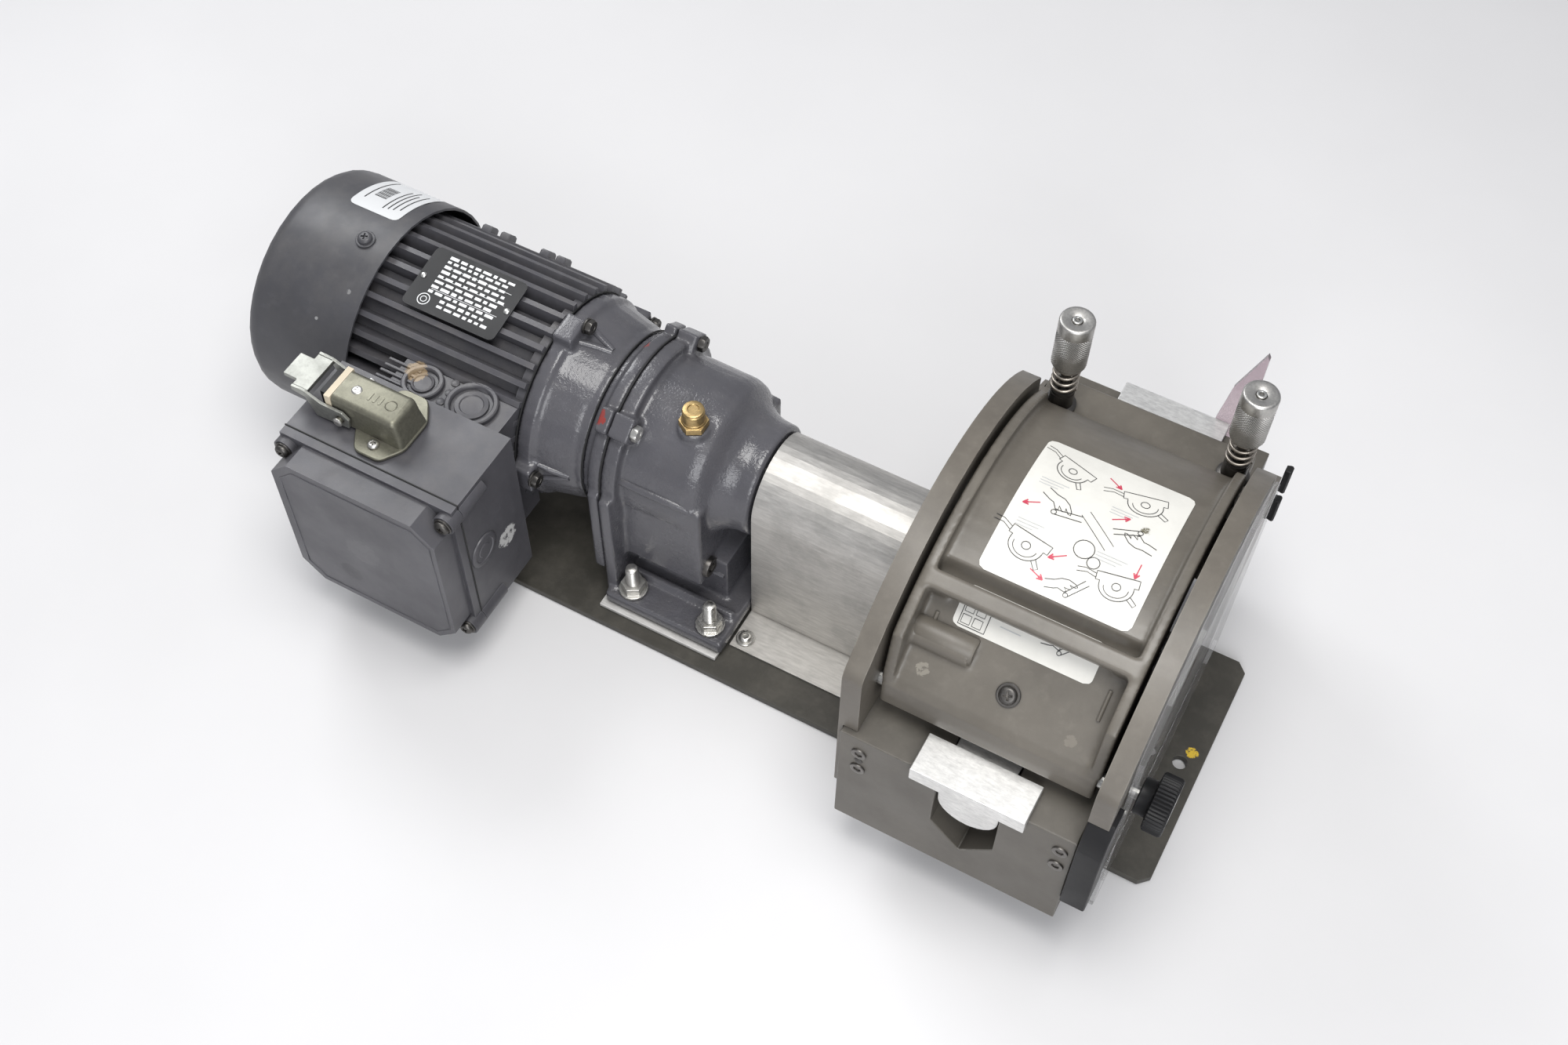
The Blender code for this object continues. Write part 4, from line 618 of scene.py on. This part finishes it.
def ink(bm, surface, points, width, lift, closed=False):
    """A drawn line: a flat strip along (u, v) points."""
    points = [Vector(p) for p in points]
    if closed:
        points.append(points[0])
    dense = [points[0]]
    for a, b in zip(points, points[1:]):
        steps = max(1, int((b - a).length / 4))
        dense += [a.lerp(b, (s + 1) / steps) for s in range(steps)]
    rows = []
    for index, point in enumerate(dense):
        before, after = dense[max(index - 1, 0)], dense[min(index + 1, len(dense) - 1)]
        along = (after - before).normalized() if (after - before).length > 1e-6 else Vector((1, 0))
        side = Vector((-along.y, along.x)) * width / 2
        left, right = point + side, point - side
        rows.append([bm.verts.new(surface(*left, lift)), bm.verts.new(surface(*right, lift)),
                     bm.verts.new(surface(*right, lift - 0.1)), bm.verts.new(surface(*left, lift - 0.1))])
    bridge(bm, rows)


def loop_points(cu, cv, ru, rv, steps=18, start=0.0, end=360.0):
    return [(cu + ru * math.cos(math.radians(start + (end - start) * s / steps)),
             cv + rv * math.sin(math.radians(start + (end - start) * s / steps))) for s in range(steps + 1)]


def arrow(bm, surface, u, v, du, dv):
    """An arrow with a solid head."""
    tip, along = Vector((u + du, v + dv)), Vector((du, dv)).normalized()
    across = Vector((-along.y, along.x))
    ink(bm, surface, [(u, v), tip - along * 2.4], 0.6, LABEL_INK)
    for share in (0.25, 0.6, 1.0):
        for side in (1, -1):
            ink(bm, surface, [tip - along * 3 * share + across * 1.5 * share * side,
                              tip - along * 0.2 - along * 2 * (1 - share)], 0.7, LABEL_INK)
    ink(bm, surface, [tip - along * 3, tip - along * 0.5], 1.2, LABEL_INK)


# --- prints -------------------------------------------------------------------------------------

# Outline drawings: each line's points, its width, and whether it closes.
PUMP_PICTURE = (  # arch and base, hose bed, dial, hose stub, handle
    (loop_points(0, 0, 1.0, 0.85, 16, 0, 180)
     + [(-1, -0.2), (-1.25, -0.2), (-1.25, -0.75), (1.25, -0.75), (1.25, -0.2), (1, -0.2)], 0.42, True),
    (loop_points(0, 0.05, 0.72, 0.6, 16, 0, 180), 0.34, False),
    (loop_points(0, -0.02, 0.26, 0.24, 12), 0.38, False),
    ([(-1.25, -0.55), (-1.9, -0.75), (-2.4, -0.7)], 0.3, False),
    ([(-1.25, -0.3), (-1.8, -0.5), (-2.4, -0.42)], 0.3, False),
    ([(0.75, 0.6), (1.15, 0.95), (1.32, 0.78), (0.92, 0.4)], 0.38, False),
)
HAND_PICTURE = (  # a hand, then the tube it holds
    ([(-1.7, -0.5), (-0.9, -0.5), (-0.3, -0.65), (0.3, -0.55), (0.85, -0.2), (1.0, 0.05), (0.8, 0.1),
      (0.35, -0.12), (0.55, 0.15), (0.4, 0.3), (-0.1, 0.1), (0.1, 0.4), (-0.1, 0.5), (-0.6, 0.2),
      (-0.95, 0.25), (-1.7, 0.2)], 0.4, False),
    ([(0.2, 0.9), (1.9, -0.2)], 0.4, False),
    ([(-0.1, 0.6), (1.6, -0.6)], 0.4, False),
    (loop_points(0.05, 0.77, 0.2, 0.2, 10), 0.38, False),
)


def draw(bm, surface, picture, cu, cv, size, turn):
    """One of the drawings on a label, with its centre, its size and its turn in degrees."""
    c, s = math.cos(math.radians(turn)), math.sin(math.radians(turn))
    for points, width, closed in picture:
        placed = [(cu + (x * c - y * s) * size, cv + (x * s + y * c) * size) for x, y in points]
        ink(bm, surface, placed, width, LABEL_INK, closed)


def track_prints():
    """The big label on the arc and the small one on the sloping panel, with drawings and no words."""
    body = "track_unit"
    print_sheet("track_label", on_arc, (49, 0.5), (129, 93), 4, FILM_LIFT, label_film, body)
    bm = bmesh.new()
    for picture, u, v, size, turn in (
            (PUMP_PICTURE, 68, 19, 8.5, 20), (PUMP_PICTURE, 108, 21, 9, -15), (PUMP_PICTURE, 66, 73, 9, 10),
            (PUMP_PICTURE, 114, 74, 8.5, -10), (HAND_PICTURE, 72, 44, 7, 25), (HAND_PICTURE, 112, 45, 6.5, 190),
            (HAND_PICTURE, 92, 84, 6, -20)):
        draw(bm, on_arc, picture, u, v, size, turn)
    for u, v in ((86, 40), (83, 44)):
        ink(bm, on_arc, [(u, v), (u + 18, v + 14)], 0.3, LABEL_INK)
    for u, v, radius in ((92, 62, 5.2), (99, 67, 3.2)):
        ink(bm, on_arc, loop_points(u, v, radius, radius), 0.4, LABEL_INK)
    new_object("label_drawings", bm, ink_grey, body)
    bm = bmesh.new()
    for row in range(3):
        for u, v, length in ((56, 31, 15), (94, 31, 14), (56, 60, 14), (98, 60, 16)):
            height = v + row * 1.9
            ink(bm, on_arc, [(u, height), (u + length - row * 2.4, height)], 0.32, LABEL_INK)
    new_object("label_lines", bm, ink_pale, body)
    bm = bmesh.new()
    for u, v, du, dv in ((62, 47, -8, 4), (86, 12, 8, 5), (97, 39, 8, -5), (86, 69, -8, 5), (120, 57, 0, 9),
                         (73, 83, 8, 3)):
        arrow(bm, on_arc, u, v, du, dv)
    new_object("label_arrows", bm, ink_pink, body)
    print_sheet("panel_label", on_panel, (48, 2.5), (122, 24.5), 3.5, FILM_LIFT, label_film, body)
    bm = bmesh.new()
    for u in (52, 58):
        for v in (5.5, 11.5, 17.5):
            ink(bm, on_panel, [(u, v), (u + 4.6, v), (u + 4.6, v + 4.4), (u, v + 4.4)], 0.35, LABEL_INK,
                closed=True)
    ink(bm, on_panel, [(51, 4.5), (65, 4.5), (65, 23), (51, 23)], 0.4, LABEL_INK, closed=True)
    draw(bm, on_panel, HAND_PICTURE, 101, 12, 5.5, -12)
    new_object("panel_drawings", bm, ink_grey, body)
    bm = bmesh.new()
    for row in range(4):
        v = 6.5 + row * 3.2
        ink(bm, on_panel, [(71, v), (86 - row % 2 * 4, v)], 0.5, LABEL_INK)
    new_object("panel_lines", bm, ink_pale, body)


def nameplate_prints():
    """A plate with round corners, pale blocks where its data stood, and its two rivets."""
    plate = print_sheet("nameplate_sheet", on_nameplate, (-321, -20.5), (-259, 20.5), 3.5, -0.8, plate_black,
                        "frame", cells=(24, 16), thick=0.8)
    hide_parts("nameplate")
    bm = bmesh.new()
    for v, count in ((-14.5, 8), (-11, 8), (-7.5, 9), (-4, 9), (-0.5, 9), (3, 9), (6.5, 9), (10, 9),
                     (13.5, 9), (16.5, 8)):
        u = -310.0 if v > -9 else -300.0
        for index in range(count):
            length = 2.2 + random.random() * 4.0
            if u + length > -264.5:
                break
            ink(bm, on_nameplate, [(u, v), (u + length, v)], 1.5 + random.random() * 0.5, PLATE_INK)
            u += length + 1.6
    for offset in (-9.5, -1.5, 6.5):
        ink(bm, on_nameplate, [(-309, offset + 3.75), (-265, offset + 3.75)], 0.25, PLATE_INK)
    ink(bm, on_nameplate, loop_points(-309.5, -13.5, 3.6, 3.6, 20), 0.5, 0.12)
    ink(bm, on_nameplate, loop_points(-309.5, -13.5, 1.8, 1.8, 14), 0.4, 0.12)
    new_object("nameplate_marks", bm, plate_white, "frame")
    for side in (-1, 1):
        point = on_nameplate(-290 + side * 28.2, 0, 0.0)
        out = on_nameplate(-290, 0, 1.0) - on_nameplate(-290, 0, 0.0)
        turned(f"nameplate_rivet_{'ab'[side > 0]}", [(0, 1.9), (0.35, 1.9), (0.8, 1.5), (1.05, 0.8)], 24,
               aim(point, out), turned_steel, "frame")


def fan_cover_details():
    """A blank sticker with grey bars, and the screws round the rim."""
    print_sheet("cover_sticker", on_cover, (-386, 10), (-352, 62), 4, FILM_LIFT, sticker_film, "frame",
                cells=(14, 22))
    bm = bmesh.new()
    for index in range(12):
        v = 25 + index * 1.25
        ink(bm, on_cover, [(-378, v), (-370, v)], 0.35 + 0.4 * (index % 3 == 0), LABEL_INK)
    for row, (u, length) in enumerate(((-366, 30), (-363, 34), (-360, 26), (-381, 36), (-356.5, 30))):
        ink(bm, on_cover, [(u, 16 + row), (u, 16 + row + length)], 0.7, LABEL_INK)
    new_object("sticker_bars", bm, ink_grey, "frame")
    for index, angle in enumerate((98, 188, 278, 8)):
        out = Vector((0, math.cos(math.radians(angle)), math.sin(math.radians(angle))))
        point = Vector((-359, 0, AXIS_Z)) + out * 72.3
        pan_screw(f"cover_rim_screw_{index + 1}", point, out, 4.4, "frame", paint_cover, washer=5.8)


# --- motor and gearbox ----------------------------------------------------------------------------

def motor_details():
    """Rib lugs, the platform's bosses and ribs, the drive end shield's bolts and gussets, and black beads of painted
    shadow along the seams.
    """
    body = "frame"

    def block(wide, long):
        return lambda a: min(wide / max(abs(math.cos(a)), 0.01), long / max(abs(math.sin(a)), 0.01))

    bm = bmesh.new()
    out = Vector((0, 55, 143 - AXIS_Z)).normalized()
    for x in (-321, -308, -280, -269):
        loft(bm, [(0, block(3.4, 5)), (4.6, block(3.1, 4.7)), (5.6, block(2.4, 4))], 32,
             aim(Vector((x, 0, AXIS_Z)) + out * 64.5, out))
    new_object("rib_lugs", bm, paint_motor, body)
    bm = bmesh.new()
    for x, radius in ((-288, 10.0), (-255, 13.0)):
        loft(bm, [(0, radius + 2.6), (2.6, radius + 2.2), (3.2, radius + 1.5), (3.2, radius - 0.2),
                  (2.6, radius - 0.8), (0.6, radius - 1.2), (0.5, radius - 3.0), (1.5, radius - 3.4),
                  (1.8, radius * 0.55), (1.1, radius * 0.5), (1.1, radius * 0.2)], 48,
             aim((x, -63, 142.6), (0, 0, 1)))
    for x, y in ((-272, -54), (-272, -69), (-271, -61.5)):
        loft(bm, [(0, 2.6), (0.9, 2.4), (1.2, 1.8)], 24, aim((x, y, 142.7), (0, 0, 1)))
    new_object("platform_bosses", bm, paint_motor, body)
    bm = bmesh.new()
    for index in range(5):
        rounded_slab(bm, (-0.9, -11), (0.9, 11), 0.8, aim((-304, -57 - index * 4.4, 142.8), (0, 0, 1), 90), 0.7)
    new_object("platform_ribs", bm, paint_motor, body)
    for index, (y, z) in enumerate(((1, 168.0), (-66, 103.0), (66, 103.0), (0, 36.0))):
        hex_bolt(f"shield_bolt_{index + 1}", (-217.7, y, z), 4.0, 3.6, body, dark_steel, washer=4.8)
    bm = bmesh.new()
    for lug in (90, 181, 1):
        for spread in (-6, 6):
            points = []
            for x, reach, share in ((-218.5, 58.4, 1.0), (-210, 56.4, 0.55), (-201.0, 53.6, 0.12)):
                angle = math.radians(lug + spread * share)
                points.append((x, reach * math.cos(angle), AXIS_Z + reach * math.sin(angle)))
            tube(bm, points, 2.2, 12)
    new_object("shield_gussets", bm, paint_shield, body)
    # Thin black beads along the casting joints: painted shadow in the seams.
    bm = bmesh.new()
    for x, radius in ((-231.15, 62.4), (-192.15, 53.9), (-178.15, 57.4)):
        tube(bm, [(x, radius * c, AXIS_Z + radius * s) for c, s in circle(96)], 0.45, 6, closed=True)
    new_object("seam_shadow_lines", bm, shadow_black, body)


def gear_case_details():
    """Bolts, the ledges on the sides, the drain plug and the breather's cap."""
    body = "frame"
    for index, angle in enumerate((50, 130, 230, 310)):
        a = math.radians(angle)
        hex_bolt(f"case_bolt_{index + 1}", (-165.3, 57.4 * math.cos(a), AXIS_Z + 57.4 * math.sin(a)), 4.2, 3.8,
                 body, bolt_steel if index == 1 else dark_steel)
    bm = bmesh.new()
    for side in (-1, 1):
        edge = side * 48.4
        tube(bm, [(-169, edge, 112.5), (-150, edge, 112.5), (-132, edge * 0.985, 112),
                  (-123, edge * 0.94, 108)], 2.8, 16)
        tube(bm, [(-168, side * 36.5, 42), (-150, side * 36.4, 41), (-110, side * 35.4, 40)], 2.0, 12)
    new_object("case_ridges", bm, paint_gear, body)
    cap_screw("case_drain_plug", (-118.4, -41, 52.5), (1, 0, 0), 6.4, 3.4, body, dark_steel)
    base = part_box("vent_plug")[1].z / MM
    turned("vent_cap", [(-0.4, 5.2), (0.2, 5.9), (0.8, 5.9), (1.1, 5.2), (1.1, 3.4), (0.5, 3.0)], 48,
           aim((-137, -19, base), (0, 0, 1)), brass, body)


def foot_details():
    """Threads on the foot studs, and the screws in the coupling guard's flanges."""
    for index, (x, y) in enumerate(((-160.5, -58), (-107.5, -58), (-160.5, 58), (-107.5, 58))):
        stations = [(25.8 + step * 0.25, 4.02 if step % 4 in (1, 2) else 3.8) for step in range(57)]
        turned(f"stud_thread_{index + 1}", stations + [(40.6, 3.4), (41.15, 2.4)], 32,
               Matrix.Translation((x, y, 0)), bolt_steel, "frame")
    for index, (x, y) in enumerate(((-88, -50), (-4, -50), (-88, 50), (-4, 50))):
        pan_screw(f"guard_screw_{index + 1}", (x, y, 6.8), (0, 0, 1), 4.0, "frame", bolt_steel, washer=5.6,
                  recess="hex")


# --- terminal box and connector ---------------------------------------------------------------------

def box_bead(name, corners, y, steps, radius, sides, material):
    """A round bead along a closed outline on the terminal box's front."""
    points = []
    for (x0, z0), (x1, z1) in zip(corners, corners[1:] + corners[:1]):
        points += [(x0 + (x1 - x0) * s / steps, y, z0 + (z1 - z0) * s / steps) for s in range(steps)]
    bm = bmesh.new()
    tube(bm, points, radius, sides, closed=True)
    new_object(name, bm, material, "frame")


def terminal_box_details():
    """The cover's screws and raised line, a black bead of painted shadow in the gap round the cover, and the blanked
    entries in the box's ends.
    """
    body = "frame"
    for index, (x, z) in enumerate(((-329, 39), (-223.5, 39), (-329, 141.5), (-223.5, 141.5))):
        pan_screw(f"box_screw_{index + 1}", (x, -136.8, z), (0, -1, 0), 4.3, body, dark_steel, washer=5.4,
                  turn=index * 25)
    box_bead("cover_raised_line", [(-315, 40), (-236, 40), (-226, 50), (-226, 132), (-236, 142), (-315, 142),
                                   (-325, 132), (-325, 50)], -149.0, 4, 0.45, 8, paint_box)
    # A black bead in the joint between box and cover: painted shadow in the gap.
    box_bead("cover_gap_shadow", [(-333.1, 33), (-219.9, 33), (-219.9, 150.1), (-333.1, 150.1)], -127.15, 6,
             0.55, 6, shadow_black)
    bm = bmesh.new()
    for x, way in ((-219.9, 1), (-333.1, -1)):
        loft(bm, [(0, 11.5), (0.8, 11.2), (1.1, 10.6), (1.0, 8.2), (0.5, 7.8), (0.5, 5.0), (0.9, 4.5)], 48,
             aim((x, -114.5, 92), (way, 0, 0)))
    new_object("box_entry_rings", bm, paint_box, body)


HOOD_LOW = 152.6  # the top of the flange that the hood stands on


def hood_section(inset, share):
    """The hood's outline across X: round top corners and sides that lean out towards the flange."""
    high, corner = 171.0 - inset, 3.0
    wide, narrow = 11.5 + share - inset, 11.0 - inset
    points = [(-wide, HOOD_LOW), (-narrow - 0.2, high - corner - 6)]
    points += [(-narrow + corner - corner * math.cos(a), high - corner + corner * math.sin(a))
               for a in (math.pi / 2 * k / 5 for k in range(6))]
    return points + [(-y, z) for y, z in reversed(points)]


def connector_hood():
    """A thin cast hood, open at the plug's end, on a flange with two ears."""
    left, foot, lean, bend, length = -310.0, -265.2, 3.6, 3.2, 44
    bm = bmesh.new()
    # Each station is (share of the hood's length, inset): the wall's inside first, then its outside.
    stations = [(0.9, 1.8), (0.45, 1.8), (0.0, 1.8), (0.0, 0.0), (0.5, 0.0), (1.0 - bend / length, 0.0)]
    for step in range(1, 6):
        angle = math.pi / 2 * step / 5
        stations.append((1.0 - bend / length * (1 - math.sin(angle)), bend * (1 - math.cos(angle)) * 0.8))
    rings = []
    for share, inset in stations:
        ring = []
        for y, z in hood_section(inset, share):
            end = foot - lean * (z - HOOD_LOW) / 18.4
            ring.append(bm.verts.new((left + (end - left) * share, PLUG_Y + y, z)))
        rings.append(ring)
    bridge(bm, rings)
    corners = [Vector(corner) for corner in (
        (-297, -11), (-289, -24), (-273, -24), (-264.4, -11), (-264.4, 11), (-273, 24), (-289, 24), (-297, 11))]
    outline = []
    for before, here, after in zip(corners[-1:] + corners, corners, corners[1:] + corners[:1]):
        for t in (0.0, 0.25, 0.5, 0.75, 1.0):
            outline.append(here + (before - here).normalized() * 3.5 * (1 - t) ** 2
                           + (after - here).normalized() * 3.5 * t ** 2)
    middle, rings = -281, []
    for z, shrink in ((150.35, 0.3), (150.8, 0.0), (152.3, 0.0), (152.8, 0.5)):
        rings.append([bm.verts.new((middle + (v.x - middle) * (1 - shrink / 16), PLUG_Y + v.y * (1 - shrink / 24), z))
                      for v in outline])
    bridge(bm, rings)
    for side in (-1, 1):
        loft(bm, [(0, 2.0), (4.4, 2.0), (4.8, 1.6)], 24, aim((-304, PLUG_Y + side * 10.8, 158), (0, side, 0)))
    hood = new_object("connector_hood_cast", bm, zinc, "frame", 40)
    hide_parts("connector_housing")


def connector_details():
    """The connector's hood with its screws, the raised marks on its top, and the lever's rivets."""
    body = "frame"
    connector_hood()
    pan_screw("hood_top_screw", (-300, PLUG_Y, 170.9), (0, 0, 1), 3.0, body, knurl_steel, height=0.6)
    bm = bmesh.new()
    tube(bm, [(-277.5 + 3.2 * c, PLUG_Y + 3.2 * s, 171.0) for c, s in circle(32)], 0.35, 8, closed=True)
    for x in (-291, -287.5, -284):
        rounded_slab(bm, (x - 0.8, -103.4), (x + 0.8, -97.6), 0.7, Matrix.Translation((0, 0, 170.75)), 0.25)
    new_object("hood_embossing", bm, zinc, body)
    for index, y in enumerate((-117, -84)):
        pan_screw(f"hood_screw_{index + 1}", (-281, y, 152.9), (0, 0, 1), 3.3, body, bolt_steel, turn=30)
    for index, (y, side) in enumerate(((-116.2, -1), (-84.8, 1))):
        turned(f"lever_rivet_{index + 1}", [(0, 2.9), (0.6, 2.9), (1.2, 2.2), (1.35, 1.2)], 24,
               aim((-304, y, 158), (0, side, 0)), bolt_steel, body)


# --- pump ---------------------------------------------------------------------------------------

def port_screws():
    for side, end in ((-1, "front"), (1, "rear")):
        for index, (x, z) in enumerate(((27.5, 113), (27.5, 97), (139.5, 113), (139.5, 97))):
            cap_screw(f"{end}_block_screw_{index + 1}", (x, side * 136.3, z), (0, side, 0), 4.2, 1.4, "frame",
                      block_steel, turn=index * 17)
        turned(f"{end}_block_dome", [(0, 2.4), (0.4, 2.3), (0.9, 1.6), (1.1, 0.7)], 24,
               aim((27.5, side * 136.4, 105), (0, side, 0)), dark_steel, "frame")


def knurled(name, x, body):
    """A latch knob: a knurled barrel between two plain bands, with a dished top and a hexagon socket screw."""
    teeth = 21
    stations = [(205.0, 3.4), (205.0, 8.0), (205.6, 8.9), (206.6, 9.3)]
    low, high, rows = 207.0, 231.5, 66
    for row in range(rows + 1):
        height = low + (high - low) * row / rows

        def reach(angle, height=height):
            one = abs(math.sin(angle * teeth + height * 2.1))
            two = abs(math.sin(angle * teeth - height * 2.1))
            return 9.2 + 0.45 * min(one, two)
        stations.append((height, reach))
    stations += [(231.7, 9.2), (231.9, 9.6), (238.6, 9.6), (239.4, 9.2), (239.8, 8.6), (239.8, 7.6),
                 (239.4, 4.2), (238.9, 3.0), (237.8, 2.8)]
    knob = turned(f"{name}_knurled", stations, 168, Matrix.Translation((x, LATCH_Y, 0)), knurl_steel, body)
    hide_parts(name)
    cap_screw(f"{name}_screw", (x, LATCH_Y, 237.9), (0, 0, 1), 2.7, 1.9, body, turned_steel)


def spring(name, x):
    """The latch's spring."""
    low, high, turns, steps = 186.4, 203.8, 4.0, 160
    points = []
    for step in range(steps + 1):
        share = step / steps
        eased = min(max((share - 0.08) / 0.84, 0.0), 1.0)
        angle = 2 * math.pi * turns * share
        points.append((x + 6.6 * math.cos(angle), LATCH_Y + 6.6 * math.sin(angle), low + (high - low) * eased))
    bm = bmesh.new()
    tube(bm, points, 0.95, 12)
    piece = new_object(f"{name}_coil", bm, spring_steel, "track_unit")
    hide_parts(name)
    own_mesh(piece)


def sleeve_collar(name, x):
    turned(f"latch_collar_{name}",
           [(170.2, 8.6), (170.9, 9.0), (172.0, 9.0), (172.6, 8.4), (173.4, 6.9), (183.0, 6.7)], 40,
           Matrix.Translation((x, LATCH_Y, 0)), dark_steel, "track_unit")


def track_details():
    """The panel's screw, the end of its boss and the two beads beside the label."""
    body = "track_unit"
    pan_screw("panel_screw", on_panel(88, 45, -0.1), PANEL_OUT, 4.8, body, dark_steel, washer=6.2, height=2.6)
    boss = on_panel(0, 33, 0)
    turned("panel_boss_end", [(-33, 6.8), (-32, 7.2), (0.0, 7.2), (1.2, 6.4), (1.4, 3.2), (0.6, 2.8)], 40,
           aim((64, boss.y, boss.z), (1, 0, 0)), paint_track, body)
    bm = bmesh.new()
    for x in (40, 132):
        tube(bm, [on_panel(x, 22, 0.2), on_panel(x, 30, 0.6), on_panel(x, 38, 0.2)], 1.1, 10)
    new_object("panel_beads", bm, paint_track, body)


def thumbscrew():
    """The knurled head of the guard's fastener, with a bright turned face."""
    def ribbed(radius, depth):
        return lambda angle: radius - depth * (0.5 + 0.5 * math.cos(angle * 44)) ** 2

    matrix = aim((0, -92, 120), (1, 0, 0))
    stations = [(162.2, 3.9), (162.2, 9.4), (162.8, 10.0), (168.4, 10.0), (169.0, 10.4), (169.2, 14.4),
                (169.9, ribbed(15.7, 0.5)), (170.8, ribbed(16.0, 1.1)), (178.6, ribbed(16.0, 1.1)),
                (179.6, ribbed(15.6, 0.6)), (180.2, 14.8), (180.3, 11.0), (179.8, 10.6), (179.8, 2.0)]
    head = turned("guard_thumbscrew_knurled", stations, 176, matrix, black_plastic, "fastener_head")
    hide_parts("guard_thumbscrew")
    turned("thumbscrew_face", [(179.75, 8.2), (180.0, 8.5), (180.25, 8.3), (180.3, 5.0), (180.1, 4.8),
                               (180.1, 1.4)], 48, matrix, turned_steel, "fastener_head")


def guard_details():
    """The clear sheet with a polished edge, and its black hinge strips."""
    body = "guard_door"
    outline = [(-110, 20), (74, 20), (76, 22)]
    radius = 147.0
    start, stop = math.acos((76 - ARC_Y) / radius), math.acos((-114 - ARC_Y) / radius)
    outline += [(ARC_Y + radius * math.cos(start + (stop - start) * s / 40),
                 ARC_Z + radius * math.sin(start + (stop - start) * s / 40)) for s in range(41)]
    outline.append((-114, 24))
    bm = bmesh.new()
    centre = Vector((-20, 110))
    bridge(bm, [[bm.verts.new((x, *(centre + (Vector(p) - centre) * (1 - inset / 110)))) for p in outline]
                for x, inset in ((158.8, 0.3), (159.1, 0.0), (161.5, 0.0), (161.8, 0.3))])
    sheet = new_object("clear_guard_sheet", bm, clear_sheet, body)
    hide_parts("clear_guard")
    bm = bmesh.new()
    for z_low, z_high, y_mid in ((178, 196.5, 75.0), (150, 168, 77.0)):
        matrix = Matrix(((0, 0, 1, 160.9), (0, 1, 0, y_mid), (1, 0, 0, 0), (0, 0, 0, 1)))
        rounded_slab(bm, (z_low, -2.6), (z_high, 2.6), 0.8, matrix, 1.9)
    new_object("guard_hinge_strips", bm, black_plastic, body)


def floor_and_light():
    """A pale paper floor, a pale sky and soft lights."""
    n = Nodes("pale_floor")
    shade = n.mix(n.ramp(n.noise(3, 5), 0.3, 0.7), (0.63, 0.625, 0.63), (0.67, 0.665, 0.67))
    n.done(shade, 0.8, n.bump(n.noise(40, 3), 0.03, 0.2))
    bm = bmesh.new()
    bmesh.ops.create_grid(bm, x_segments=8, y_segments=8, size=6.0)
    mesh = bpy.data.meshes.new("studio_floor")
    bm.to_mesh(mesh)
    bm.free()
    floor = add_object("studio_floor", mesh)
    floor.location = (0, 0, -0.0006)  # a little under the base, so that the two don't flicker
    mesh.materials.append(n.material)

    world = bpy.data.worlds.new("studio")
    world.use_nodes = True
    sky = world.node_tree.nodes["Background"].inputs
    sky["Color"].default_value = (0.93, 0.95, 1.0, 1.0)
    sky["Strength"].default_value = 0.42
    bpy.context.scene.world = world
    for name, place, target, size, power, colour in (
            ("key", (0.1, -0.2, 1.6), (0, 0, 0.1), 0.8, 19, (1.0, 0.99, 0.97)),
            ("fill", (0.7, -1.4, 0.9), (0, 0, 0.1), 1.0, 17, (0.97, 0.98, 1.0)),
            ("left", (-1.1, 0.5, 1.2), (-0.1, 0, 0.1), 0.6, 9, (0.98, 0.99, 1.0))):
        lamp = bpy.data.lights.new(name, "AREA")
        lamp.shape = "SQUARE"
        lamp.size = size
        lamp.energy = power
        lamp.color = colour
        holder = add_object(name, lamp)
        holder.location = place
        holder.rotation_mode = "QUATERNION"
        holder.rotation_quaternion = (Vector(target) - Vector(place)).to_track_quat("-Z", "Y")


def camera():
    """The photograph's viewpoint, found from the base plate's edges and the round motor."""
    turn, tilt, roll = math.radians(27.467), math.radians(55.505), math.radians(1.293)
    right = Vector((math.cos(turn), math.sin(turn), 0))
    forward = Vector((-math.sin(turn) * math.cos(tilt), math.cos(turn) * math.cos(tilt), -math.sin(tilt)))
    up = right.cross(forward)
    across = right * math.cos(roll) + up * math.sin(roll)
    above = -right * math.sin(roll) + up * math.cos(roll)
    data = bpy.data.cameras.new("photo_view")
    data.sensor_fit = "HORIZONTAL"
    data.sensor_width = 36.0
    data.lens = 42.04
    data.clip_start, data.clip_end = 0.05, 20
    data.dof.use_dof = False
    holder = add_object("photo_view", data)
    rotation = Matrix((across, above, -forward)).transposed().to_4x4()
    holder.matrix_world = Matrix.Translation(Vector((191.06, -540.13, 950.84)) * MM) @ rotation
    bpy.context.scene.camera = holder
    bpy.context.scene.view_settings.view_transform = "Standard"


dress_cad_nodes()
fan_cover_details()
motor_details()
nameplate_prints()
gear_case_details()
foot_details()
terminal_box_details()
connector_details()
port_screws()
for side, x in LATCH_X.items():
    knurled(f"latch_knob_{side}", x, f"knob_{side}")
    spring(f"latch_spring_{side}", x)
    sleeve_collar(side, x)
track_prints()
track_details()
thumbscrew()
guard_details()
floor_and_light()
camera()
